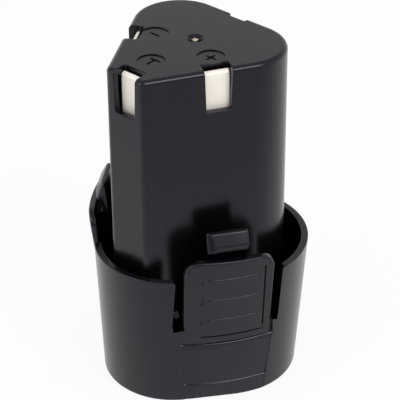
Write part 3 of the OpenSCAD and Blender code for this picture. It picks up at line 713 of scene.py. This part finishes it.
def stop_fin():
    """Sloping fin beside the tower that stops a pressed latch."""
    place = face_frame(LATCH_OUT, LATCH_ALONG, Vector((0, 0)))
    y = HINGE_T - (LATCH_W / 2 + SLOT_OUT) / 2
    inside = FLANK_REACH - PAST / 2
    end = FLANK_REACH + FIN_REACH
    low = CUP_FLOOR - FLOOR_SINK
    outline = [(inside, low), (end, low), (end, FIN_TOP - FIN_REACH * math.tan(FIN_SLOPE)),
               (FLANK_REACH, FIN_TOP), (inside, FIN_TOP)]
    return prism("fin", outline, -y - SOCKET_T / 2, SOCKET_T / 2 - y, place @ PROFILE)


def make_cup():
    foot = fillet(CUP_FOOT_R)
    rings = [cup_ring(inset, drop) for inset, drop in reversed(foot)]
    rings += [cup_ring(inset, CUP_H - drop) for inset, drop in fillet(RIM_R)]
    rings += [cup_ring(CUP_WALL - inset, CUP_H - drop) for inset, drop in reversed(fillet(RIM_R))]
    rings += [cup_ring(CUP_WALL, CUP_FLOOR)]
    cup = loft("cup", rings)
    for backing in at_both(latch_backing):
        body = loft("body", [cup_ring(BODY_INSET, z) for z in (CUP_FLOOR - BODY_SINK, CUP_H - OVER)])
        combine(cup, "UNION", combine(backing, "INTERSECT", body))
    combine(cup, "DIFFERENCE", *at_both(latch_room), *at_both(flat_cut))
    low = CUP_FLOOR - FLOOR_SINK
    socket = loft("socket", [tower_ring(-FIT_GAP - SOCKET_T, z) for z in (low, CUP_FLOOR + SOCKET_H)])
    combine(socket, "UNION", *at_both(stop_fin))
    combine(socket, "DIFFERENCE", loft("foot", [tower_ring(-FIT_GAP, z) for z in (CUP_FLOOR, CUP_H)]))
    combine(cup, "UNION", socket)
    combine(cup, "UNION", *[post("pillar", x, y, BOSS_D / 2, low, BOSS_Z) for x, y in SCREW_PLACES])
    combine(cup, "DIFFERENCE",
            *[post("seat", x, y, HEAD_D / 2 + FIT_GAP, -OVER, SEAT_Z) for x, y in SCREW_PLACES],
            *[post("bore", x, y, SCREW_D / 2 + BORE_ROOM, -OVER, BOSS_Z + OVER) for x, y in SCREW_PLACES])
    return ease(cup, MOULD_EDGE, 2)


# Latches

def tongue_ring(inset, out):
    half = TONGUE_W / 2
    low_r = TONGUE_BACK_EDGE + LEAST_R
    x, z, r = half - LATCH_TOP_R, TONGUE_TOP - LATCH_TOP_R, LATCH_TOP_R - inset
    low_x, low_z = half - low_r, -TONGUE_LOW - LATCH_LOW_R
    more = TONGUE_LEFT_EDGE * inset
    circles = [(x, z - TONGUE_TILT, r), (more - x, z - more / TONGUE_LEFT_FALL, r),
               (more - low_x, low_z, low_r - inset), (low_x - TONGUE_TAPER, low_z, low_r - inset)]
    return [(x + TONGUE_SHIFT, y, out) for x, y in round_hull(circles, (14, 14, 6, 6))]


def make_tongue():
    """Crowned tongue with a sunk grip panel that has ribs, ticks, a groove at the right and a low sill."""
    back = [tongue_ring(inset, drop - ROOT_R) for inset, drop in reversed(fillet(TONGUE_BACK_EDGE))]
    front = [tongue_ring(inset, ROOT_R - drop) for inset, drop in fillet(TONGUE_EDGE)]
    tongue = loft("tongue", back + front, UPRIGHT)
    foot_top = SLOT_Z - ROOT_Z - FOOT_DROP
    foot = block("foot", (-ROOT_R, TONGUE_FOOT[0], -OVER), (ROOT_R, TONGUE_FOOT[1], foot_top))
    combine(tongue, "UNION", foot)
    (left, right), (low, high) = PANEL_Y, PANEL_Z
    floor = ROOT_R - PANEL_DEPTH
    above = ROOT_R + OVER
    r = PANEL_R
    corners = [(right - r, high - r, r), (left + r, high - r, r),
               (left + r, low + r, r), (right - r, low + r, r)]
    panel = prism("panel", round_hull(corners, (6, 6, 6, 6)), floor, above, UPRIGHT)
    under_x, under_z = TONGUE_UNDER
    below = [(-PAST, -PAST), (PAST, -PAST), (PAST, -TONGUE_LOW), (under_x, -TONGUE_LOW),
             (-ROOT_R, under_z), (-PAST, under_z)]
    combine(tongue, "DIFFERENCE", prism("below", below, -PAST, PAST, PROFILE), panel)
    combine(tongue, "DIFFERENCE",
            block("groove", (floor - GROOVE_DEPTH, right - GROOVE_W, low + GROOVE_ENDS[0]),
                  (above, right, high - GROOVE_ENDS[1])),
            block("sill", (floor - TICK_DEPTH / 2, left + SILL_ENDS[0], low),
                  (above, right - SILL_ENDS[1], low + SILL_W)))
    rib_y, rib_z = RIB_MID
    heights = [rib_z + (i - (RIB_COUNT - 1) / 2) * RIB_PITCH for i in range(RIB_COUNT)]
    for z in heights:
        tick_z = z - TICK_BELOW
        tick = block("tick", (floor - TICK_DEPTH, left, tick_z), (above, left + TICK_W, tick_z + TICK_LEN))
        combine(tongue, "DIFFERENCE", tick)
    combine(tongue, "UNION", copies("ribs", [(floor, rib_y, z) for z in heights], make_rib(), ABS))
    return move(crown(ease(tongue, MOULD_EDGE, 2), LATCH_CROWN), LEAN)


def make_rib():
    """Low grip bead along Y, a little less than half round."""
    reach = math.acos(RIB_SINK / RIB_R)
    turns = [reach * (k / RIB_STEPS - 1) for k in range(2 * RIB_STEPS + 1)]
    arc = [(RIB_R * math.cos(a) - RIB_SINK, RIB_R * math.sin(a)) for a in turns]
    back = RIB_SINK - PANEL_DEPTH * 2
    profile = [(back, arc[-1][1]), (back, arc[0][1]), *arc]
    half = RIB_LEN / 2
    return prism("rib", profile, -half, half, PROFILE)


def crown(piece, radius):
    """Moves a piece that faces +X out by the tongue's rise and bends it back towards its sides."""
    work = bmesh.new()
    work.from_mesh(piece.data)
    half = TONGUE_W / 2
    for k in range(1, CROWN_STEPS):
        parts = work.verts[:] + work.edges[:] + work.faces[:]
        place = (0, (2 * k / CROWN_STEPS - 1) * half * MM, 0)
        bmesh.ops.bisect_plane(work, geom=parts, plane_co=place, plane_no=(0, 1, 0), dist=1e-7)
    for vert in work.verts:
        vert.co.x += TONGUE_RISE * MM - vert.co.y ** 2 / (2 * radius * MM)
    work.to_mesh(piece.data)
    work.free()
    return piece


def make_hook():
    """Stem behind the tongue with a catch at its top, cut off at one corner."""
    stem_in = -ROOT_R - STEM_T
    stem_low = LATCH_LEN / 2
    nose_x = HOOK_REACH - ROOT_R
    nose_z = HOOK_TOP - HOOK_DROP
    under_z = LATCH_LEN + (nose_z - HOOK_NOSE - LATCH_LEN) / 2
    joint_z = LATCH_LEN - STEM_T
    profile = [(TONGUE_RISE, stem_low - STEM_T), (TONGUE_RISE, joint_z), (-ROOT_R, joint_z),
               (-ROOT_R, under_z), (nose_x - HOOK_UNDERCUT, nose_z - HOOK_NOSE), (nose_x, nose_z),
               (stem_in + HOOK_FLAT, HOOK_TOP), (stem_in, HOOK_TOP),
               (stem_in, stem_low + STEM_T), (-ROOT_R, stem_low - STEM_T)]
    left = HOOK_SHIFT - HOOK_W / 2
    right = HOOK_SHIFT + HOOK_W / 2
    hook = prism("hook", profile, -right, -left, LEAN @ PROFILE)
    way = Vector(HOOK_CORNER_WAY).to_track_quat("X", "Z").to_matrix().to_4x4()
    corner = Matrix.Translation((nose_x, left + HOOK_CORNER, nose_z)) @ way
    combine(hook, "DIFFERENCE", block("corner", (0, -PAST, -PAST), (PAST, PAST, PAST), LEAN @ corner))
    return ease(hook, HOOK_EDGE, 4)


def make_latch():
    latch = make_tongue()
    root_r = ROOT_R - (ROOT_HALF ** 2) / (2 * LATCH_CROWN) / 2
    root = prism("root", circle(root_r - ROOT_R, 0, root_r), LATCH_GAP - ROOT_HALF, ROOT_HALF - LATCH_GAP,
                 AT_LATCH @ PROFILE)
    return combine(latch, "UNION", make_hook(), root)


# Contacts, pin and screws

def make_contact(face, recess):
    """Bent plate with a fine score line where it starts to bend."""
    bend_z = TOWER_TOP - CONTACT_DROP - BOARD_TOP - CONTACT_BEND
    width = WINDOW_W + WINDOW_FLARE * (1 - TOP_WALL / WINDOW_H) - 2 * FIT_GAP
    turns = [math.pi / 2 * k / BEND_STEPS for k in range(BEND_STEPS + 1)]
    outer = [(CONTACT_BEND * (math.cos(a) - 1), bend_z + CONTACT_BEND * math.sin(a)) for a in turns]
    inner_r = CONTACT_BEND - CONTACT_T
    inner = [(inner_r * math.cos(a) - CONTACT_BEND, bend_z + inner_r * math.sin(a))
             for a in reversed(turns)]
    score = [(0, bend_z - SCORE_W), (-SCORE_DEPTH, bend_z - SCORE_W / 2)]
    outline = [(-CONTACT_FOOT, 0), (0, 0), *score, *outer, *inner,
               (-CONTACT_T, CONTACT_T), (-CONTACT_FOOT, CONTACT_T)]
    place = face @ Matrix.Translation((-recess, 0, BOARD_TOP)) @ PROFILE
    return ease(prism("contact", outline, -width / 2, width / 2, place), CONTACT_EDGE, 2, 50)


def make_pin():
    y = MIDDLE_Y + TEST_BACK
    half = PIN_W / 2
    pin = block("pin", (-half, y - half, BOARD_TOP), (half, y + half, TOWER_TOP - PIN_DROP))
    return ease(pin, PIN_EDGE, 3)


def make_screw():
    """Pan head below a ridged shank, with a cross recess."""
    low = SEAT_Z - HEAD_H
    r = HEAD_D / 2
    profile = [(r - inset, low + drop) for inset, drop in reversed(fillet(HEAD_R))]
    profile += [(r, SEAT_Z - HEAD_CHAMFER), (r - HEAD_CHAMFER, SEAT_Z)]
    shank_r = SCREW_D / 2 - SHANK_ROOM
    ridges = round((SCREW_LEN - TIP_LEN) / THREAD_PITCH)
    root, crest = THREAD_TURN
    for k in range(ridges):
        profile += [(shank_r - THREAD_DEPTH, SEAT_Z + (k + root) * THREAD_PITCH),
                    (shank_r, SEAT_Z + (k + crest) * THREAD_PITCH)]
    profile += [(shank_r - SHANK_NECK, SEAT_Z + ridges * THREAD_PITCH), (TIP_R, SEAT_Z + SCREW_LEN)]
    screw = loft("screw", [[(x, y, z) for x, y in circle(0, 0, radius, 32)] for radius, z in profile])
    deep = low + CROSS_DEPTH
    half = CROSS_LEN / 2
    thin = CROSS_W / 2
    return combine(screw, "DIFFERENCE", block("cross", (-half, -thin, low - OVER), (half, thin, deep)),
                   block("cross", (-thin, -half, low - OVER), (thin, half, deep)))


# Materials

def linear(code):
    """Linear colour of an sRGB hex value."""
    parts = [int(code[k:k + 2], 16) / 255 for k in (1, 3, 5)]
    return [*(p / 12.92 if p <= 0.04045 else ((p + 0.055) / 1.055) ** 2.4 for p in parts), 1]


def per(size):
    """Texture scale that repeats once in so many millimetres."""
    return 1 / (size * MM)


def node(tree, kind, inputs=None, **settings):
    """Adds a node with its settings; an input that is given an output is linked to it."""
    made = tree.nodes.new(kind)
    for key, value in settings.items():
        setattr(made, key, value)
    for key, value in (inputs or {}).items():
        if isinstance(value, bpy.types.NodeSocket):
            tree.links.new(value, made.inputs[key])
        else:
            made.inputs[key].default_value = value
    return made


def maths(tree, operation, *values):
    """Outcome of a sum with plain values or with what other nodes give."""
    return node(tree, "ShaderNodeMath", dict(enumerate(values)), operation=operation).outputs[0]


def blend(tree, share, low, high):
    """Colour between two colours."""
    return node(tree, "ShaderNodeMix", {0: share, 6: low, 7: high}, data_type="RGBA").outputs[2]


def object_space(tree):
    return node(tree, "ShaderNodeTexCoord").outputs["Object"]


def relief(tree, shader, height, depth, strength=1):
    """Bump so many millimetres deep, in place of any that the shader had."""
    bump = node(tree, "ShaderNodeBump", {"Height": height, "Strength": strength, "Distance": depth * MM})
    tree.links.new(bump.outputs[0], shader.inputs["Normal"])


def new_material(name):
    made = bpy.data.materials.new(name)
    made.use_nodes = True
    tree = made.node_tree
    return made, tree, tree.nodes["Principled BSDF"]


def surface(name, low, high, size, rough, metallic=0, depth=0, stretch=(1, 1, 1)):
    """Colour, roughness and relief that follow one noise, so many millimetres across."""
    made, tree, shader = new_material(name)
    drawn = node(tree, "ShaderNodeMapping", {"Vector": object_space(tree), "Scale": stretch})
    noise = node(tree, "ShaderNodeTexNoise", {"Vector": drawn.outputs[0], "Scale": per(size), "Detail": 3})
    tone = blend(tree, noise.outputs[0], linear(low), linear(high))
    level = node(tree, "ShaderNodeMapRange", {0: noise.outputs[0], 3: rough[0], 4: rough[1]})
    tree.links.new(tone, shader.inputs["Base Color"])
    tree.links.new(level.outputs[0], shader.inputs["Roughness"])
    relief(tree, shader, noise.outputs[0], depth)
    shader.inputs["Metallic"].default_value = metallic
    return made, tree, shader


def black_abs():
    # ABS moulded in a finely eroded tool: nearly black inside, with a soft gloss that carbon black cools
    # a little
    made, tree, shader = surface("black_abs_eroded", "#040406", "#060609", 7, (0.2, 0.26))
    shader.inputs["IOR"].default_value = 1.53
    shader.inputs["Specular IOR Level"].default_value = 0.4
    shader.inputs["Specular Tint"].default_value = linear("#f0eeff")
    # Erosion grain is about 0.05 mm wide; it is drawn at 0.3 mm to show
    grain = node(tree, "ShaderNodeTexNoise", {"Vector": object_space(tree), "Scale": per(0.3), "Detail": 2})
    relief(tree, shader, grain.outputs[0], 0.01, 0.25)
    return made


def plated_contact():
    # Matt tin plating: pale and warm, and its crystals scatter most of the light, so it stays bright in its
    # recess
    return surface("matt_tin_plating", "#f1eae0", "#f7f1e8", 0.5, (0.45, 0.55), 0.15, 0.004, (1, 1, 0.1))[0]


def gilt_pin():
    # Brass with a thin pale gilt flash: small, bright and slightly yellow
    return surface("gilt_brass_pin", "#c9c2ac", "#dcd7c6", 0.4, (0.25, 0.4), 1, 0.003)[0]


def zinc_steel():
    # Zinc-plated steel: cold grey, cloudy in patches
    return surface("zinc_plated_steel", "#a6abb0", "#c4c6c8", 0.9, (0.28, 0.46), 1, 0.004)[0]


def nickel_strip():
    # Rolled nickel strip: warm grey with long fine rolling lines
    return surface("rolled_nickel_strip", "#b4afa4", "#cdc8bd", 1.2, (0.26, 0.4), 1, 0.004, (0.12, 1, 1))[0]


def can_steel():
    # Drawn nickel-plated steel: cool grey with upright drawing lines
    return surface("drawn_nickel_plated_steel", "#aeb2b5", "#cbcdce", 0.8, (0.2, 0.34), 1, 0.003,
                   (1, 1, 0.06))[0]


def shunt_metal():
    # Manganin resistor: dull copper grey
    return surface("manganin_alloy", "#8e817a", "#a39489", 0.4, (0.35, 0.5), 1, 0.004)[0]


def foam():
    # Closed-cell neoprene foam: dull black with open skin pores about 0.4 mm wide
    made, tree, shader = surface("closed_cell_foam", "#131315", "#242427", 0.8, (0.88, 0.97))
    cells = node(tree, "ShaderNodeTexVoronoi", {"Vector": object_space(tree), "Scale": per(0.4)})
    relief(tree, shader, cells.outputs[0], 0.12)
    return made


def insulating_paper():
    # Pressed barley paper: grey green, with felted fibres
    return surface("pressed_barley_paper", "#7f8a66", "#a5ae8b", 0.9, (0.78, 0.92), 0, 0.02,
                   (0.25, 1, 1))[0]


def dark_plastic():
    # Glass-filled nylon: charcoal, with faint pale flow marks
    return surface("glass_filled_nylon", "#1c1c1e", "#2b2b2e", 1.6, (0.45, 0.6), 0, 0.01, (1, 0.3, 1))[0]


def electrode_roll():
    # Coated foil wound tight: graphite grey, banded along its edges
    return surface("wound_coated_foil", "#29292b", "#4d4a48", 0.6, (0.5, 0.7), 0, 0.03, (1, 1, 0.05))[0]


def gasket_plastic():
    # Moulded polypropylene: clean mid blue with a waxy sheen
    return surface("polypropylene_seal", "#2f5f97", "#3b6ca6", 1.5, (0.36, 0.46), 0, 0.004)[0]


def sleeve_pvc():
    # Shrunk PVC sleeve: glossy blue skin with shallow shrink ripples
    made, _, shader = surface("shrunk_pvc_sleeve", "#1d4f8c", "#27609f", 4, (0.16, 0.26), 0, 0.08,
                              (1, 1, 0.4))
    shader.inputs["Coat Weight"].default_value = 0.3
    return made


def board_laminate():
    # Glass-epoxy board under green solder mask: copper tracks about 0.6 mm wide show as a lighter green
    made, tree, shader = surface("solder_masked_laminate", "#0d3d1e", "#125028", 3, (0.24, 0.34))
    tracks = node(tree, "ShaderNodeTexBrick", {
        "Vector": object_space(tree), "Scale": per(3), "Color1": linear("#0d3d1e"),
        "Color2": linear("#114a25"), "Mortar": linear("#2c7a43"),
        "Mortar Size": 0.1, "Brick Width": 1.7, "Row Height": 0.8})
    tree.links.new(tracks.outputs["Color"], shader.inputs["Base Color"])
    relief(tree, shader, tracks.outputs["Fac"], 0.035)
    return made


def chip_epoxy():
    # Moulded epoxy: matt black with a fine even grain
    return surface("moulded_epoxy", "#0e0e10", "#19191b", 0.25, (0.55, 0.7), 0, 0.006)[0]


def chip_ceramic():
    # Fired ceramic with tinned ends: buff bodies, bright at both ends of each part
    made, tree, shader = surface("tinned_ceramic", "#a8875c", "#bd9d72", 0.3, (0.45, 0.6), 0, 0.003)
    low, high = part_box("chip_parts")
    along = node(tree, "ShaderNodeSeparateXYZ", {0: object_space(tree)}).outputs["Y"]
    away = maths(tree, "ABSOLUTE", maths(tree, "SUBTRACT", along, (low.y + high.y) / 2))
    tinned = maths(tree, "GREATER_THAN", away, (high.y - low.y) * TIN_SHARE)
    plain = shader.inputs["Base Color"].links[0].from_socket
    tone = blend(tree, tinned, plain, linear("#c9cacb"))
    tree.links.new(tone, shader.inputs["Base Color"])
    tree.links.new(tinned, shader.inputs["Metallic"])
    return made


def jacket(name, low, high):
    # Extruded silicone: soft and dull, with faint lines along the wire
    return surface(name, low, high, 0.7, (0.55, 0.68), 0, 0.01, (1, 1, 0.05))[0]


def copper():
    # Stranded copper: red brown, with strands about 0.2 mm wide that wind round the core
    made, tree, shader = surface("stranded_copper", "#a0603a", "#bf7a50", 0.3, (0.28, 0.42), 1)
    strands = node(tree, "ShaderNodeTexWave", {"Vector": object_space(tree), "Scale": per(4)},
                   bands_direction="DIAGONAL")
    relief(tree, shader, strands.outputs["Fac"], 0.05)
    return made


def bead_epoxy():
    # Dipped epoxy: dark green drop with a wet gloss
    made, _, shader = surface("dipped_epoxy", "#0c1f12", "#14301c", 1, (0.1, 0.18), 0, 0.03)
    shader.inputs["Coat Weight"].default_value = 0.5
    return made


ABS = black_abs()
PAINTS = {
    "black_abs": ABS, "zinc_steel": zinc_steel(), "foam": foam(), "insulating_paper": insulating_paper(),
    "nickel": nickel_strip(), "dark_plastic": dark_plastic(), "can_steel": can_steel(),
    "electrode_roll": electrode_roll(), "gasket_plastic": gasket_plastic(), "sleeve_pvc": sleeve_pvc(),
    "board_laminate": board_laminate(), "chip_epoxy": chip_epoxy(), "shunt_metal": shunt_metal(),
    "chip_ceramic": chip_ceramic(), "plated_contact": plated_contact(), "gilt_pin": gilt_pin(),
    "black_jacket": jacket("black_silicone", "#0f0f11", "#1b1b1d"),
    "white_jacket": jacket("white_silicone", "#c9c7c0", "#dad8d2"),
    "red_jacket": jacket("red_enamel", "#7d1710", "#97251b"),
    "copper": copper(), "bead_epoxy": bead_epoxy()}


# Pieces

def put(piece, name, body, slot, *nodes):
    """Names, paints and seats a finished piece in place of its solids."""
    shade(piece)
    piece.name = name
    piece.data.name = name
    piece.data.materials.clear()
    piece.data.materials.append(PAINTS[slot])
    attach(piece, body)
    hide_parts(*nodes)


for part in frame["record"]["subparts"]:
    solid = frame["nodes"][part["node"]]
    solid.data.materials.clear()
    solid.data.materials.append(PAINTS[part["material_slot"]])

put(make_tower(), "tower_shell", "pack", "black_abs", "tower_housing")
put(make_cup(), "cup_shell", "pack", "black_abs", "base_cup")
plus_latch = make_latch()
minus_latch = mirrored(plus_latch, "minus")
put(plus_latch, "plus_latch_tongue", "plus_latch", "black_abs", "plus_latch")
put(minus_latch, "minus_latch_tongue", "minus_latch", "black_abs", "minus_latch")
put(make_contact(PLUS_FACE, SIDE_RECESS), "plus_contact_plate", "pack", "plated_contact", "plus_contact")
put(make_contact(MINUS_FACE, SIDE_RECESS), "minus_contact_plate", "pack", "plated_contact", "minus_contact")
put(make_contact(FRONT_FACE, FRONT_RECESS), "sense_contact_plate", "pack", "plated_contact",
    "sense_contact")
put(make_pin(), "test_post", "pack", "gilt_pin", "test_pin")
screws = copies("screws", [(x, y, 0) for x, y in SCREW_PLACES], make_screw(), PAINTS["zinc_steel"])
put(screws, "cross_head_screws", "pack", "zinc_steel", "case_screws")


# Stage, light and camera

def seen_rays(tree):
    """Switches for rays from the camera, and for all that show the floor: seen, mirrored or through glass."""
    path = node(tree, "ShaderNodeLightPath").outputs
    seen = maths(tree, "MAXIMUM", path["Is Camera Ray"], path["Is Glossy Ray"])
    return path["Is Camera Ray"], maths(tree, "MAXIMUM", seen, path["Is Transmission Ray"])


def make_stage():
    """White floor with a faint shadow; where the pack mirrors it, painted shade darkens it towards the front
    right.
    """
    work = bmesh.new()
    bmesh.ops.create_circle(work, cap_ends=True, segments=64, radius=FLOOR_R)
    floor = from_bmesh("floor", work)
    made, tree, shader = new_material("white_sweep")
    shader.inputs["Base Color"].default_value = linear("#f2f2f2")
    shader.inputs["Roughness"].default_value = 0.9
    direct, seen = seen_rays(tree)
    # Painted shade: for mirrored rays the glow falls off towards the front right, as if that part of the
    # floor lay in shade
    reach = node(tree, "ShaderNodeVectorMath", {0: object_space(tree), 1: FLOOR_SHADE_WAY}, operation="DOT_PRODUCT")
    near, far = FLOOR_SHADE_SPAN
    fall = node(tree, "ShaderNodeMapRange",
                {0: reach.outputs["Value"], 1: near, 2: far, 3: 1, 4: FLOOR_SHADE_LEAST})
    level = maths(tree, "MAXIMUM", fall.outputs[0], direct)
    share = maths(tree, "MULTIPLY", seen, FLOOR_GLOW)
    glow = node(tree, "ShaderNodeEmission", {"Color": (1, 1, 1, 1), "Strength": level})
    mix = node(tree, "ShaderNodeMixShader", {0: share, 1: shader.outputs[0], 2: glow.outputs[0]})
    tree.links.new(mix.outputs[0], tree.nodes["Material Output"].inputs["Surface"])
    floor.data.materials.append(made)


def smooth(tree, value, span, low, high):
    """Goes smoothly from low to high while the value crosses a span."""
    return node(tree, "ShaderNodeMapRange", {0: value, 1: span[0], 2: span[1], 3: low, 4: high},
                interpolation_type="SMOOTHSTEP").outputs[0]


def make_world():
    """White room that lights evenly; shiny faces mirror it darker overhead and low down behind the camera."""
    world = bpy.data.worlds.new("studio")
    bpy.context.scene.world = world
    world.use_nodes = True
    tree = world.node_tree
    back = tree.nodes["Background"]
    way = node(tree, "ShaderNodeTexCoord").outputs["Generated"]
    height = node(tree, "ShaderNodeSeparateXYZ", {0: way}).outputs["Z"]
    top = smooth(tree, height, ROOM_TOP_SPAN, 1, ROOM_TOP)
    near = node(tree, "ShaderNodeVectorMath", {0: way, 1: NEAR_WAY}, operation="DOT_PRODUCT")
    near = smooth(tree, near.outputs["Value"], NEAR_SPAN, 0, 1)
    low = smooth(tree, height, NEAR_DARK_SPAN, NEAR_DARK, 0)
    lit = maths(tree, "SUBTRACT", 1, maths(tree, "MULTIPLY", near, low))
    mirrored_level = maths(tree, "MULTIPLY", top, lit)
    path = node(tree, "ShaderNodeLightPath").outputs
    plain = node(tree, "ShaderNodeMix", {0: path["Is Diffuse Ray"], 2: 1, 3: ROOM_FILL})
    level = node(tree, "ShaderNodeMix", {0: path["Is Glossy Ray"], 2: plain.outputs[0], 3: mirrored_level})
    back.inputs["Color"].default_value = (1, 1, 1, 1)
    tree.links.new(level.outputs[0], back.inputs["Strength"])


def make_lamp(name, place, size, power):
    """Rectangular lamp of so many watts, aimed at the pack; place and size are in metres."""
    lamp = bpy.data.lights.new(name, "AREA")
    lamp.shape = "RECTANGLE"
    lamp.size, lamp.size_y = size
    lamp.energy = power
    made = new_object(name, lamp)
    way = Vector(LAMP_AIM) - Vector(place)
    made.matrix_world = Matrix.LocRotScale(Vector(place), way.to_track_quat("-Z", "Y"), None)


def make_camera():
    turn, rise, roll = (math.radians(a) for a in CAMERA_ANGLES)
    right = Vector((math.cos(turn), math.sin(turn), 0))
    back = Vector((math.sin(turn) * math.cos(rise), -math.cos(turn) * math.cos(rise), math.sin(rise)))
    up = back.cross(right)
    across = right * math.cos(roll) + up * math.sin(roll)
    upward = up * math.cos(roll) - right * math.sin(roll)
    place = (Vector(CAMERA_AIM) + back * CAMERA_AWAY) * MM
    view = bpy.data.cameras.new("photo_view")
    view.sensor_width = SENSOR_W
    view.lens = LENS
    view.shift_x, view.shift_y = CAMERA_SHIFT
    made = new_object("photo_view", view)
    made.matrix_world = Matrix((across, upward, back)).transposed().to_4x4()
    made.matrix_world.translation = place
    bpy.context.scene.camera = made


make_stage()
make_world()
make_lamp("softbox", (0.6, -0.12, 0.55), (0.4, 0.3), 2.1)
make_lamp("front_fill", (-0.2, -0.7, 0.42), (0.4, 0.4), 1.4)
make_camera()
bpy.context.scene.view_settings.view_transform = "Standard"
